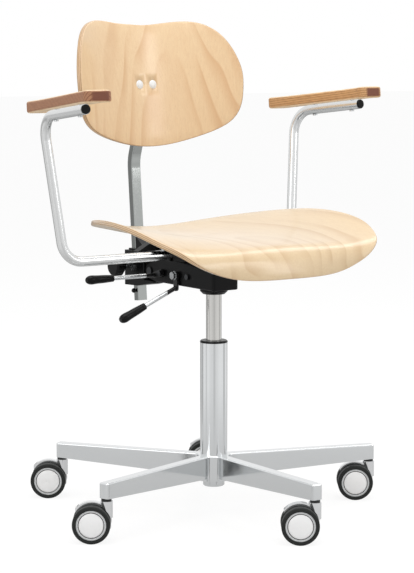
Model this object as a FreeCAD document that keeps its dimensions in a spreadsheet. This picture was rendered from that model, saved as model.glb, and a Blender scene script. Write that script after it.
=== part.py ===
"""A swivel chair: five-star base on twin castors, gas column, seat mechanism with two levers,
moulded plywood seat and backrest, and bent tube arms with wooden pads.

Frame: millimetres, +Z up, origin on the floor under the column. The sitter faces -Y, so the
sitter's right hand is on the -X side.
"""
import FreeCAD, Part
import Sketcher
import math
import os
from FreeCAD import Placement, Rotation, Vector

doc = FreeCAD.newDocument("swivel_chair")
sheet = doc.addObject("Spreadsheet::Sheet", "Sizes")

# Every size that can be set by itself: its name, its value and what it measures.
SIZES = [
    # general fits
    ("fit_gap", 0.05, "gap round a piece fixed in another"),
    ("run_gap", 0.06, "radial gap of a turning or sliding piece"),
    ("rest_gap", 0.3, "gap between curved or sprung faces that rest on each other"),
    ("overrun", 40, "how far a cut runs past what it cuts"),
    # base
    ("arm_count", 5, "arms of the base (a number, not a length)"),
    ("base_turn", -0.4, "turn of the base about the column in degrees (not a length)"),
    ("stem_circle_radius", 300, "column axis to castor stem"),
    ("arm_end_margin", 8, "castor stem to the end of the arm"),
    ("arm_width", 20, "width of a base arm"),
    ("arm_top", 102, "floor to the top of the arms"),
    ("arm_tip_underside", 75.2, "floor to the underside of an arm at its end"),
    ("arm_root_underside", 61, "floor to the underside of an arm at the hub"),
    ("hub_underside", 56, "floor to the underside of the hub"),
    ("hub_radius", 29, "radius of the hub between the arms"),
    ("hub_flat_radius", 32, "radius where the undersides of the arms start"),
    ("hub_root_radius", 7.5, "rounding between hub and arm"),
    ("arm_end_rounding", 4, "rounding of the upright edges at the end of an arm"),
    ("arm_top_rounding", 2.2, "rounding of the top edges of the base"),
    ("arm_low_rounding", 1.2, "rounding of the lower edges of the arms"),
    ("hub_floor", 4, "thickness of the hub's floor"),
    ("hub_floor_hole_radius", 12, "hole in the hub's floor"),
    ("hub_cap_radius", 19.5, "radius of the cap under the hub"),
    ("hub_cap_height", 12, "height of the cap under the hub"),
    ("hub_cap_wall", 2.5, "wall of that cap"),
    ("hub_cap_spigot", 1.5, "how far the cap reaches into the hub"),
    ("hub_cap_chamfer", 1.5, "chamfer of the cap's lower edge"),
    # column and gas spring
    ("column_radius", 24.5, "outer radius of the column tube"),
    ("column_wall", 1.5, "wall of the column tube"),
    ("column_top", 306, "floor to the top of the column tube"),
    ("column_floor", 4, "thickness of the column tube's floor"),
    ("bush_flange", 4, "thickness of the guide bush's flange"),
    ("bush_flange_lip", 0.5, "how far the flange stands out past the tube"),
    ("bush_flange_chamfer", 1.8, "chamfer of the flange"),
    ("bush_length", 70, "length of the guide bush inside the tube"),
    ("bearing_radius", 13, "outer radius of the thrust bearing"),
    ("bearing_height", 6, "height of the thrust bearing"),
    ("rod_radius", 5, "radius of the piston rod"),
    ("rod_neck_radius", 4, "radius of the rod's lower end"),
    ("rod_neck_below", 5, "how far the rod's end reaches below the tube's floor"),
    ("piston_top", 232, "floor to the top of the piston"),
    ("piston_height", 8, "height of the piston"),
    ("clip_radius", 8, "outer radius of the clip on the rod"),
    ("clip_thickness", 1.6, "thickness of the clip"),
    ("cylinder_radius", 14, "outer radius of the gas spring"),
    ("cylinder_wall", 2, "wall of the gas spring"),
    ("cylinder_foot", 150, "floor to the lower end of the gas spring"),
    ("cylinder_gland", 8, "thickness of the gas spring's lower gland"),
    ("cylinder_head", 18, "solid length at the gas spring's top, under its spigot"),
    ("spigot_radius", 13, "radius of the gas spring's end in the mechanism"),
    ("spigot_length", 32, "length of that end"),
    # mechanism housing
    ("boss_foot", 394, "floor to the lower face of the housing's boss"),
    ("boss_radius", 25, "radius of the boss"),
    ("boss_chamfer", 5, "chamfer of the boss's lower edge"),
    ("socket_wall", 5, "wall of the socket round the gas spring's end"),
    ("housing_underside", 403, "floor to the housing's underside"),
    ("housing_top", 446.5, "floor to the housing's top"),
    ("housing_width", 56, "width of the housing"),
    ("housing_wall", 3, "wall of the housing"),
    ("housing_front", 38, "column axis to the housing's front"),
    ("housing_front_drop", 13, "fall of the top at the front end"),
    ("housing_slope_start", 66, "column axis to where the top starts to fall"),
    ("housing_waist", 145, "column axis to where the rear end narrows"),
    ("housing_rear_radius", 14, "rounding of the rear end about the back's axle"),
    ("housing_front_rounding", 6, "rounding of the upright front edges"),
    ("housing_edge_rounding", 2, "rounding of the housing's long edges"),
    ("pivot_height", 421.5, "floor to the row of cross bolts"),
    ("back_pivot_y", 166.5, "column axis to the back's axle"),
    ("tilt_pivot_y", 124, "column axis to the tilt lever's bolt"),
    ("lift_pivot_y", 76, "column axis to the lift lever's bolt"),
    ("front_bolt_y", 42.5, "column axis to the front bolt"),
    ("axle_radius", 5, "radius of the back's axle"),
    ("axle_head_radius", 7.5, "radius of the axle's heads"),
    ("axle_head", 2.5, "height of the axle's heads"),
    ("bolt_radius", 4, "radius of the cross bolts"),
    ("bolt_head_radius", 5.2, "radius of the cross bolts' heads"),
    ("bolt_head", 3.4, "height of the cross bolts' heads"),
    ("lift_nut_width", 13, "width across the flats of the lift lever's nut"),
    ("lift_nut_height", 5, "height of that nut"),
    ("washer_radius", 8, "radius of the washer under it"),
    ("washer_thickness", 1.2, "thickness of that washer"),
    # back bracket and post
    ("bracket_width", 47, "width of the back bracket"),
    ("bracket_front", 194, "column axis to the bracket's block"),
    ("bracket_rear", 261.5, "column axis to the bracket's rear"),
    ("bracket_underside", 386.8, "floor to the bracket's underside at its rear"),
    ("bracket_knee_y", 215, "column axis to where the bracket's underside starts to rise"),
    ("bracket_knee", 388.6, "floor to the bracket's underside there"),
    ("bracket_front_underside", 393, "floor to the bracket's underside at the front of its block"),
    ("bracket_top", 453, "floor to the top of the block"),
    ("bracket_bolt_y", 229, "column axis to the bolt across the bracket"),
    ("bracket_edge_rounding", 2.5, "rounding of the bracket's upright edges"),
    ("lug_width", 40, "width of the bracket's lug between the housing's sides"),
    ("lug_height", 20, "height of the lug"),
    ("tongue_reach", 161, "column axis to the front of the lower tongue"),
    ("tongue_underside", 398.2, "floor to the tongue's underside at its front"),
    ("tongue_top", 401.6, "floor to the tongue's top"),
    ("post_slot_slack", 0.11, "half slack of the post in its slot, fore and aft"),
    ("rib_top", 478, "floor to the top of the rib before the post"),
    ("rib_foot_y", 199, "column axis to the front of the rib"),
    ("rib_width", 20, "width of the rib"),
    ("collar_height", 3, "height of the collar round the post"),
    ("collar_wall", 5, "wall of the collar round the post"),
    ("post_width", 20, "width of the back post"),
    ("post_thickness", 15, "thickness of the back post"),
    ("post_edge", 1.5, "rounding of the post's edges"),
    ("post_foot_y", 241, "column axis to the post's foot"),
    ("post_foot", 357, "floor to the post's foot"),
    ("post_knee_y", 264, "column axis to the post's knee"),
    ("post_knee", 622, "floor to the post's knee"),
    ("post_knee_bend", 70, "bend radius of the knee"),
    ("post_neck_below", 48, "the post's neck, below the backrest's bolts"),
    ("post_head_above", 34, "the post's upper end, above the backrest's bolts"),
    ("post_neck_bend", 70, "bend radius of the neck"),
    ("stop_height", 376, "floor to the stop on the post"),
    ("stop_radius", 4.5, "radius of the stop's head"),
    ("stop_shank_radius", 2, "radius of the stop's shank"),
    ("stop_depth", 5, "depth of the stop's shank in the post"),
    # height knob
    ("knob_height", 425, "floor to the height knob's axis"),
    ("knob_radius", 20, "radius of the height knob"),
    ("knob_length", 19, "length of the height knob"),
    ("knob_hub_radius", 9, "radius of the hub on the knob's inner side"),
    ("knob_hub_length", 7, "length of that hub"),
    ("knob_standoff", 10.5, "gap between the bracket and the height knob"),
    ("knob_rounding", 3.5, "rounding of the knob's ends"),
    ("knob_flute_radius", 1.8, "radius of the knob's flutes"),
    ("knob_flute_count", 18, "flutes of the knob (a number)"),
    ("screw_radius", 4, "radius of the knob's screw"),
    ("screw_collar_radius", 6, "radius of the collar on that screw"),
    ("screw_in_knob", 19, "length of the screw in the knob"),
    ("screw_end_gap", 0.3, "gap between the screw's end and the post"),
    # levers
    ("lever_plate", 4, "thickness of the levers' flat ends"),
    ("lever_plate_gap", 1, "gap between the housing and the levers' flat ends"),
    ("lever_eye_radius", 7, "radius of the levers' eyes"),
    ("lever_end_radius", 5.5, "radius of the flat ends round the rods"),
    ("lever_rod_radius", 3.9, "radius of the lever rods"),
    ("tilt_crank_y", 145, "column axis to the tilt lever's rod"),
    ("tilt_crank_height", 415.8, "floor to the tilt lever's rod"),
    ("tilt_lever_reach", 178.5, "middle of the chair to the end of the tilt lever"),
    ("lift_crank_y", 75, "column axis to the lift lever's rod"),
    ("lift_crank_height", 398.5, "floor to the lift lever's elbow"),
    ("lift_lever_length", 128, "length of the lift lever's rod"),
    ("lift_lever_fall", 23, "fall of that rod in degrees (not a length)"),
    ("grip_length", 56, "length of the levers' grips"),
    ("grip_radius", 7.9, "largest radius of the grips"),
    ("grip_neck_radius", 6.2, "radius of the grips at their inner end"),
    ("grip_tip_radius", 4.6, "radius of the grips at their outer end"),
    ("grip_tip", 5, "length of the rounded tip of a grip"),
    ("grip_end_wall", 6, "solid length of a grip past its rod"),
    # arms
    ("tube_radius", 9, "radius of the arm tube"),
    ("tube_wall", 1.5, "wall of the arm tube"),
    ("tube_y", 101.5, "column axis to the arm tube under the seat"),
    ("tube_height", 456, "floor to the arm tube under the seat"),
    ("tube_low_half", 250, "middle of the chair to the lower corner of the tube"),
    ("tube_high_half", 277, "middle of the chair to the upper corner of the tube"),
    ("tube_high_y", 126, "column axis to the upper corner"),
    ("tube_high", 711.5, "floor to the upper corner"),
    ("tube_end_half", 295, "middle of the chair to the end of the tube"),
    ("tube_end_y", 48, "column axis to the end of the tube, forward"),
    ("tube_end", 729.5, "floor to the end of the tube"),
    ("tube_low_bend", 40, "bend radius of the lower corner"),
    ("tube_high_bend", 42, "bend radius of the upper corner"),
    ("plug_radius", 8.3, "radius of the plugs in the tube's ends"),
    ("plug_head", 2.5, "height of the plugs' heads"),
    ("plug_depth", 10, "depth of the plugs in the tube"),
    ("pad_front", 44, "tube end to the front of the arm pad"),
    ("pad_back", 217.5, "tube end to the back of the arm pad"),
    ("pad_width", 50, "width of the arm pad"),
    ("pad_outward", 7, "tube axis to the middle of the pad, outward"),
    ("pad_waist", 7, "depth of the hollow in the pad's outer side"),
    ("pad_thickness", 19.5, "thickness of the arm pad"),
    ("pad_nose_thickness", 20.4, "thickness of the pad's nose"),
    ("pad_tail_thickness", 21, "thickness of the pad's back end"),
    ("pad_corner", 13, "rounding of the pad's corners in plan"),
    ("pad_edge", 4.5, "rounding of the pad's edges"),
    ("pad_nose_drop_start", 6, "tube end to where the pad's underside starts to drop"),
    ("pad_turn", 6.6, "turn of the pad in plan, in degrees (not a length)"),
    ("pad_screw_first", 22, "tube end to the first pad screw"),
    ("pad_screw_second", 120, "tube end to the second pad screw"),
    ("pad_screw_radius", 2, "radius of the pad screws"),
    ("pad_screw_head_radius", 4.2, "radius of their heads"),
    ("pad_screw_head", 2.4, "height of their heads"),
    ("pad_screw_depth", 9, "depth of the screws in the pad"),
    # seat carrier
    ("carrier_front", 58, "column axis to the front of the seat carrier"),
    ("carrier_rear", 128, "column axis to the rear of the seat carrier"),
    ("carrier_half", 89, "middle to the end of the carrier's wings"),
    ("carrier_shoulder", 58, "middle to where the wings start to fall"),
    ("carrier_top", 482, "floor to the carrier's top"),
    ("carrier_foot_half", 26, "middle to the side of the carrier's foot"),
    ("carrier_wall", 3, "wall of the carrier"),
    ("carrier_wing_front", 111.5, "column axis to the front of the wings, behind the arm tube"),
    ("clamp_bolt_half", 42, "middle to the tube clamp bolts"),
    ("clamp_bolt_radius", 3, "radius of the tube clamp bolts"),
    ("clamp_head_radius", 5.5, "radius of their heads"),
    ("clamp_head", 3, "height of their heads"),
    ("clamp_nut_radius", 4.3, "radius of their collars on the tube"),
    ("clamp_nut", 3, "height of those collars"),
    ("seat_screw_half", 44, "middle to the seat screws"),
    ("seat_screw_inset", 8.2, "carrier's front or rear to the seat screws"),
    ("seat_screw_radius", 2, "radius of the seat screws"),
    ("seat_screw_head_radius", 4.5, "radius of their heads"),
    ("seat_screw_head", 3, "height of their heads"),
    ("seat_screw_depth", 5, "depth of the seat screws in the plywood"),
    ("spacer_radius", 9, "radius of the spacers under the seat"),
    # seat
    ("rim_edges", 6, "edges that the outline of a moulded shell is made of (a number)"),
    ("seat_ply", 9, "thickness of the seat"),
    ("seat_half_width", 231.5, "half the width of the seat, along its surface"),
    ("seat_half_length", 235.5, "half the length of the seat, along its surface"),
    ("seat_middle", 247.5, "lip start to the middle of the seat, along its surface"),
    ("seat_lip_y", 236.4, "column axis to the front lip"),
    ("seat_lip_height", 430.5, "floor to where the lip's curve starts"),
    ("seat_lip_bend_at", 58.4, "lip start to the middle of the front bend"),
    ("seat_lip_bend_run", 19.9, "run of the front bend"),
    ("seat_span", 200, "width over which the seat's cross curve is given"),
    ("seat_reach", 250, "length over which the seat's long curve is given"),
    ("seat_rounding", 2.4, "rounding of the seat's edges"),
    # backrest
    ("back_ply", 9, "thickness of the backrest"),
    ("back_half_width", 192.5, "half the width of the backrest, along its surface"),
    ("back_half_height", 118, "half the height of the backrest, along its surface"),
    ("back_y", 219.4, "column axis to the face of the backrest at its bolts"),
    ("back_height", 764.5, "floor to the backrest's bolts"),
    ("back_lean", 11.9, "lean of the backrest in degrees (not a length)"),
    ("back_cross_radius", 290, "radius of the backrest across"),
    ("back_long_radius", 971, "radius of the backrest up and down, at its middle"),
    ("back_rounding", 2.4, "rounding of the backrest's edges"),
    ("back_bolt_half", 15, "middle to the backrest's bolts"),
    ("back_bolt_radius", 3, "radius of the backrest's bolts"),
    ("back_bolt_cap_radius", 8.5, "radius of their round heads"),
    ("back_bolt_cap", 3, "height of their round heads"),
    ("back_bolt_end", 4, "length of the bolts' nuts behind the plate"),
    ("back_bolt_nut_radius", 4.6, "radius of those nuts"),
    ("plate_width", 56, "width of the plate behind the backrest"),
    ("plate_height", 60, "height of that plate"),
    ("plate_thickness", 5, "thickness of that plate"),
    ("plate_gap", 0.8, "gap between the backrest's back and that plate"),
    # castors
    ("castor_heading", 145, "heading of the castors in degrees (not a length)"),
    ("castor_trail", 25, "castor stem to the wheel axle"),
    ("wheel_radius", 32.5, "radius of the wheels"),
    ("wheel_face", 23, "middle of the castor to a wheel's outer face"),
    ("wheel_inner", 7.5, "middle of the castor to a tyre's inner face"),
    ("hub_inner", 6.2, "middle of the castor to a wheel hub's inner face"),
    ("wheel_hub_radius", 8, "radius of the wheel's hub"),
    ("tyre_seat_radius", 25.6, "radius of the wheel body under its tyre"),
    ("tyre_shoulder", 2.4, "rounding of the tyre's shoulders"),
    ("cap_radius", 21.2, "radius of the domed cap"),
    ("cap_dome", 2.2, "rise of the domed cap"),
    ("cap_groove", 1.2, "width and depth of the groove round the cap"),
    ("axle_pin_radius", 3, "radius of the castor's axle"),
    ("axle_pin_half", 17, "half the length of the castor's axle"),
    ("hood_radius", 37.9, "radius of the castor's hood"),
    ("hood_width", 11.6, "width of the hood"),
    ("hood_floor", 9, "wheel axle to the hood's lower edge"),
    ("hood_end_angle", 43, "angle of the hood's end in degrees (not a length)"),
    ("hood_end_in", 26, "wheel axle to the foot of the hood's end"),
    ("hood_wheel_gap", 1.4, "gap between the hood and the wheels"),
    ("hood_top", 70.6, "floor to the top of the stem housing"),
    ("stem_housing_radius", 10.8, "radius of the stem housing"),
    ("stem_housing_foot", 42, "floor to the foot of the stem housing"),
    ("stem_radius", 5.5, "radius of the stem"),
    ("stem_foot", 46, "floor to the stem's lower end"),
    ("stem_in_arm", 20, "length of the stem in the arm"),
    ("stem_flange_radius", 8.8, "radius of the stem's flange under the arm"),
    ("stem_flange_gap", 0.4, "gap over and under that flange"),
]

VALUES = {}
for row, (alias, value, note) in enumerate(SIZES, start=1):
    sheet.set(f"A{row}", note)
    sheet.set(f"B{row}", str(value))
    sheet.setAlias(f"B{row}", alias)
doc.recompute()
for alias, value, note in SIZES:
    VALUES[alias] = float(sheet.get(alias))

# The outline of the backrest, from the middle of its upper edge round to the middle of its lower
# edge, as shares of its half width and half height.
BACK_OUTLINE_SHARES = [
    (0.0, 0.975), (0.235, 0.990), (0.453, 1.007), (0.645, 0.953), (0.798, 0.788), (0.904, 0.545),
    (0.966, 0.302), (0.993, 0.128), (1.0, -0.02), (0.995, -0.179), (0.982, -0.338),
    (0.947, -0.508), (0.875, -0.649), (0.761, -0.751), (0.608, -0.829), (0.422, -0.899),
    (0.216, -0.957),
]
BACK_OUTLINE_FOOT_SHARE = -0.98
# How much more the backrest curves across at its top than at its middle, and how much less at its
# sides, as shares of its curve across.
BACK_TWIST_SHARE = 0.156
BACK_FLATTER_SHARE = 0.0112
# Curves of the seat: how square its outline is behind and in front, how much it narrows, and the
# terms of its cross curve and long curve.
SEAT_SQUARE_BACK_SHARE = 2.39
SEAT_SQUARE_FRONT_SHARE = 3.28
SEAT_TAPER_SHARE = -0.041
SEAT_BULGE_SHARE = -0.07
SEAT_CROSS_SHARES = (0.293, 0.481, -0.261, -0.067)
SEAT_CROSS_STEEP_SHARES = (-0.034, -0.473)
SEAT_LONG_SHARES = (-0.034, -0.035, 0.22)
SEAT_LIP_SLOPE_SHARE = 1.428
# Half the width across the flats of a hexagon, as a share of its corner radius.
HEXAGON_SHARE = 0.8660254
# How far the middle of a quarter round lies from its corner, as a share of its radius.
CORNER_SHARE = 0.29289
# The hollow in the outer side of an arm pad: places from its nose to its back end and depths.
PAD_SIDE_SHARES = [(0.09, 0.35), (0.13, 0.78), (0.18, 1.0), (0.3, 0.82), (0.52, 0.3), (0.75, 0.03)]
# The face of a grip from its inner to its outer end: places along it and radii between neck and
# full radius.
GRIP_SHARES = [(0.0, 0.0), (0.14, 0.25), (0.42, 0.7), (0.74, 1.0), (1.0, 0.8)]


def words(text):
    """Splits a written sum into names, numbers and signs."""
    out, word = [], ""
    for mark in text + " ":
        if mark.isalnum() or mark in "_.":
            word += mark
            continue
        if word:
            out.append(word)
            word = ""
        if mark in "+-*/()":
            out.append(mark)
    return out


def formula(text):
    """The sheet's expression for a written sum of its names."""
    return " ".join(f"Sizes.{word}" if word in VALUES else word for word in words(str(text)))


def number(text):
    """The value of a written sum of the sheet's names."""
    marks = words(str(text))

    def atom():
        mark = marks.pop(0)
        if mark == "(":
            value = total()
            marks.pop(0)
            return value
        if mark == "-":
            return -atom()
        return VALUES[mark] if mark in VALUES else float(mark)

    def product():
        value = atom()
        while marks and marks[0] in "*/":
            if marks.pop(0) == "*":
                value = value * atom()
            else:
                value = value / atom()
        return value

    def total():
        value = product()
        while marks and marks[0] in "+-":
            if marks.pop(0) == "+":
                value = value + product()
            else:
                value = value - product()
        return value

    return total()


def bind(thing, **sums):
    """Binds properties of a document object to written sums of the sheet's names."""
    for prop, text in sums.items():
        thing.setExpression(prop, formula(text))


def place(thing, x="0", y="0", z="0", turn=None):
    """Gives a document object its turn, and a place bound to the sheet."""
    thing.Placement = Placement(Vector(number(x), number(y), number(z)), turn or Rotation())
    for axis, text in (("x", x), ("y", y), ("z", z)):
        thing.setExpression(f"Placement.Base.{axis}", formula(text))


NODES = {}


def keep(thing, node, placement=None):
    """Names a finished sub-part."""
    thing.Label = node
    if placement is not None:
        thing.Placement = placement
    NODES[node] = thing
    return thing


def new_body(name):
    return doc.addObject("PartDesign::Body", name + "_body")


def origin_plane(body, role):
    return next(item for item in body.Origin.OriginFeatures if item.Role == role)


def new_sketch(body, name, role, offset="0"):
    """A sketch on one of the body's own origin planes, moved along its normal."""
    sketch = body.newObject("Sketcher::SketchObject", name)
    sketch.AttachmentSupport = [(origin_plane(body, role), "")]
    sketch.MapMode = "FlatFace"
    if offset != "0":
        sketch.AttachmentOffset = Placement(Vector(0, 0, number(offset)), Rotation())
        sketch.setExpression("AttachmentOffset.Base.z", formula(offset))
    return sketch


def pin(sketch, index, end, x, y):
    """Ties a point of a sketch to its origin by two bound dimensions."""
    for kind, text, axis in (("DistanceX", x, -2), ("DistanceY", y, -1)):
        if text == "0":
            sketch.addConstraint(Sketcher.Constraint("PointOnObject", index, end, axis))
            continue
        made = sketch.addConstraint(Sketcher.Constraint(kind, -1, 1, index, end, number(text)))
        sketch.setExpression(f"Constraints[{made}]", formula(text))


def outline(sketch, corners):
    """A closed outline of straight lines through corners given as written sums."""
    spots = [Vector(number(x), number(y), 0) for x, y in corners]
    first = sketch.GeometryCount
    count = len(spots)
    for i in range(count):
        sketch.addGeometry(Part.LineSegment(spots[i], spots[(i + 1) % count]), False)
    for i in range(count):
        follower = first + (i + 1) % count
        sketch.addConstraint(Sketcher.Constraint("Coincident", first + i, 2, follower, 1))
    for i, (x, y) in enumerate(corners):
        pin(sketch, first + i, 1, x, y)


def circle(sketch, x, y, radius):
    """A circle with its centre and radius bound to the sheet."""
    shape = Part.Circle(Vector(number(x), number(y), 0), Vector(0, 0, 1), number(radius))
    index = sketch.addGeometry(shape, False)
    pin(sketch, index, 3, x, y)
    made = sketch.addConstraint(Sketcher.Constraint("Radius", index, number(radius)))
    sketch.setExpression(f"Constraints[{made}]", formula(radius))


def pad(body, sketch, length, both_ways=False, backward=False):
    feature = body.newObject("PartDesign::Pad", sketch.Name + "_pad")
    feature.Profile = sketch
    bind(feature, Length=length)
    feature.Midplane = both_ways
    feature.Reversed = backward
    return feature


def pocket(body, sketch, length, both_ways=False, backward=False):
    """A pocket whose cut is checked: one that points away from the solid stops the build."""
    doc.recompute()
    before = body.Shape.Volume
    feature = body.newObject("PartDesign::Pocket", sketch.Name + "_pocket")
    feature.Profile = sketch
    bind(feature, Length=length)
    feature.Midplane = both_ways
    feature.Reversed = backward
    doc.recompute()
    if not body.Shape.Volume < before:
        raise RuntimeError(f"{feature.Name} cuts nothing")
    return feature


def turned(body, sketch, groove=False):
    """A full turn of a sketch about its upright axis, as a solid or as a cut."""
    kind = "PartDesign::Groove" if groove else "PartDesign::Revolution"
    feature = body.newObject(kind, sketch.Name + "_turned")
    feature.Profile = sketch
    feature.ReferenceAxis = (sketch, ["V_Axis"])
    feature.Angle = 360
    return feature


def repeat(body, features, count, name):
    """Copies of features, spread evenly round the body's upright axis."""
    feature = body.newObject("PartDesign::PolarPattern", name)
    feature.Originals = features
    feature.Axis = (origin_plane(body, "Z_Axis"), [""])
    feature.Angle = 360
    bind(feature, Occurrences=count)
    body.Tip = feature
    return feature


def dress(body, kind, size, wanted, name):
    """Fillets or chamfers the edges of the body for which wanted(edge) holds."""
    doc.recompute()
    base = body.Tip
    names = [f"Edge{i}" for i, edge in enumerate(base.Shape.Edges, start=1) if wanted(edge)]
    if not names:
        raise RuntimeError(f"{name}: no edge found")
    feature = body.newObject(f"PartDesign::{kind}", name)
    feature.Base = (base, names)
    if kind == "Fillet":
        bind(feature, Radius=size)
    else:
        bind(feature, Size=size)
    body.Tip = feature
    doc.recompute()
    return feature


def middle(edge):
    """The point halfway along an edge."""
    return edge.valueAt((edge.FirstParameter + edge.LastParameter) / 2)


def ends(edge):
    return [vertex.Point for vertex in edge.Vertexes]


def upright(edge):
    """True for a straight edge parallel to Z."""
    spots = ends(edge)
    if len(spots) != 2 or edge.Curve.TypeId != "Part::GeomLine":
        return False
    run = spots[1] - spots[0]
    return math.hypot(run.x, run.y) < TINY and abs(run.z) > TINY


def flat_at(edge, height):
    """True for an edge that lies in the level plane at a height."""
    return all(abs(spot.z - height) < TINY for spot in ends(edge) + [middle(edge)])


TINY = number("fit_gap") / 10


# Base: a hub with five arms, cut to a shallow cone below.
body = new_body("star_base")
hub = new_sketch(body, "hub_plan", "XY_Plane", "hub_underside")
circle(hub, "0", "0", "hub_radius")
pad(body, hub, "arm_top - hub_underside")
arm = new_sketch(body, "arm_plan", "XY_Plane", "hub_underside")
outline(arm, [("arm_width / 2", "0"), ("arm_width / 2", "0 - stem_circle_radius - arm_end_margin"),
              ("0 - arm_width / 2", "0 - stem_circle_radius - arm_end_margin"), ("0 - arm_width / 2", "0")])
arm_pad = pad(body, arm, "arm_top - hub_underside")
repeat(body, [arm_pad], "arm_count", "arms")
hub_reach = number("hub_radius")
arm_reach = number("stem_circle_radius + arm_end_margin")
dress(body, "Fillet", "hub_root_radius", lambda edge: upright(edge)
      and math.hypot(middle(edge).x, middle(edge).y) < hub_reach * 1.2, "hub_roots")
dress(body, "Fillet", "arm_end_rounding", lambda edge: upright(edge)
      and math.hypot(middle(edge).x, middle(edge).y) > arm_reach * 0.98, "arm_ends")
belly = new_sketch(body, "underside", "XZ_Plane")
outline(belly, [("hub_flat_radius", "arm_root_underside"),
                ("stem_circle_radius + arm_end_margin", "arm_tip_underside"),
                ("stem_circle_radius + arm_end_margin + overrun", "arm_tip_underside"),
                ("stem_circle_radius + arm_end_margin + overrun", "hub_underside - overrun"),
                ("hub_flat_radius", "hub_underside - overrun")])
turned(body, belly, groove=True)
dress(body, "Fillet", "arm_top_rounding", lambda edge: flat_at(edge, number("arm_top")), "arm_tops")
bore = new_sketch(body, "column_bore", "XY_Plane", "hub_underside + hub_floor")
circle(bore, "0", "0", "column_radius + fit_gap")
pocket(body, bore, "arm_top - hub_underside - hub_floor + overrun", backward=True)
hole = new_sketch(body, "floor_hole", "XY_Plane", "hub_underside - overrun")
circle(hole, "0", "0", "hub_floor_hole_radius")
pocket(body, hole, "hub_floor + overrun * 2", backward=True)
stem_bore = new_sketch(body, "stem_bore", "XY_Plane", "hub_underside")
circle(stem_bore, "0", "0 - stem_circle_radius", "stem_radius + run_gap")
stem_cut = pocket(body, stem_bore, "arm_tip_underside - hub_underside + stem_in_arm + stem_flange_gap",
                  backward=True)
repeat(body, [stem_cut], "arm_count", "stem_bores")
base_turn = Rotation(Vector(0, 0, 1), VALUES["base_turn"])
keep(body, "star_base", Placement(Vector(), base_turn))


def turning(name, corners, node=None):
    """A piece turned about the upright axis from an outline of radii and heights."""
    made = new_body(name)
    sketch = new_sketch(made, name + "_section", "XZ_Plane")
    outline(sketch, corners)
    turned(made, sketch)
    if node:
        keep(made, node)
    return made


# Column: outer tube, guide bush, thrust bearing, clip and the cap under the hub.
column_foot = "(hub_underside + hub_floor)"
floor_top = "(hub_underside + hub_floor + column_floor)"
shoulder = "(hub_underside + hub_floor + column_floor + bearing_height)"
turning("column_tube", [
    ("rod_neck_radius + run_gap", column_foot), ("column_radius", column_foot),
    ("column_radius", "column_top"), ("column_radius - column_wall", "column_top"),
    ("column_radius - column_wall", floor_top), ("rod_neck_radius + run_gap", floor_top)], "column_tube")
bush_foot = "column_top - bush_length"
turning("guide_bush", [
    ("cylinder_radius + run_gap", bush_foot),
    ("column_radius - column_wall - fit_gap", bush_foot),
    ("column_radius - column_wall - fit_gap", "column_top + fit_gap"),
    ("column_radius + bush_flange_lip", "column_top + fit_gap"),
    ("column_radius + bush_flange_lip", "column_top + bush_flange - bush_flange_chamfer"),
    ("column_radius + bush_flange_lip - bush_flange_chamfer", "column_top + bush_flange"),
    ("cylinder_radius + run_gap", "column_top + bush_flange")], "guide_bush")
turning("thrust_bearing", [
    ("rod_neck_radius + run_gap", floor_top + " + fit_gap"), ("bearing_radius", floor_top + " + fit_gap"),
    ("bearing_radius", shoulder + " - fit_gap"),
    ("rod_neck_radius + run_gap", shoulder + " - fit_gap")], "thrust_bearing")
clip_top = column_foot + " - fit_gap * 2"
clip = turning("rod_clip", [
    ("rod_neck_radius + fit_gap", clip_top + " - clip_thickness"),
    ("clip_radius", clip_top + " - clip_thickness"), ("clip_radius", clip_top),
    ("rod_neck_radius + fit_gap", clip_top)])
neck_end = column_foot + " - rod_neck_below"
rod = turning("piston_rod", [
    ("0", neck_end), ("rod_neck_radius", neck_end), ("rod_neck_radius", shoulder),
    ("rod_radius", shoulder), ("rod_radius", "piston_top - piston_height"),
    ("cylinder_radius - cylinder_wall - run_gap", "piston_top - piston_height"),
    ("cylinder_radius - cylinder_wall - run_gap", "piston_top"), ("0", "piston_top")])
rod_set = doc.addObject("Part::Compound", "piston_rod_set")
rod_set.Links = [rod, clip]
keep(rod_set, "piston_rod")
cap_foot = "hub_underside - hub_cap_height"
turning("hub_cap", [
    ("0", cap_foot), ("hub_cap_radius - hub_cap_chamfer", cap_foot),
    ("hub_cap_radius", cap_foot + " + hub_cap_chamfer"), ("hub_cap_radius", "hub_underside - fit_gap"),
    ("hub_floor_hole_radius - fit_gap", "hub_underside - fit_gap"),
    ("hub_floor_hole_radius - fit_gap", "hub_underside + hub_cap_spigot"),
    ("hub_floor_hole_radius - hub_cap_wall", "hub_underside + hub_cap_spigot"),
    ("hub_floor_hole_radius - hub_cap_wall", cap_foot + " + hub_cap_wall"),
    ("0", cap_foot + " + hub_cap_wall")], "hub_cap")
spigot_foot = "boss_foot - fit_gap"
turning("gas_cylinder", [
    ("rod_radius + run_gap", "cylinder_foot"), ("cylinder_radius", "cylinder_foot"),
    ("cylinder_radius", spigot_foot), ("spigot_radius", spigot_foot),
    ("spigot_radius", "boss_foot + spigot_length"), ("0", "boss_foot + spigot_length"),
    ("0", "boss_foot - cylinder_head"), ("cylinder_radius - cylinder_wall", "boss_foot - cylinder_head"),
    ("cylinder_radius - cylinder_wall", "cylinder_foot + cylinder_gland"),
    ("rod_radius + run_gap", "cylinder_foot + cylinder_gland")], "gas_cylinder")

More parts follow.
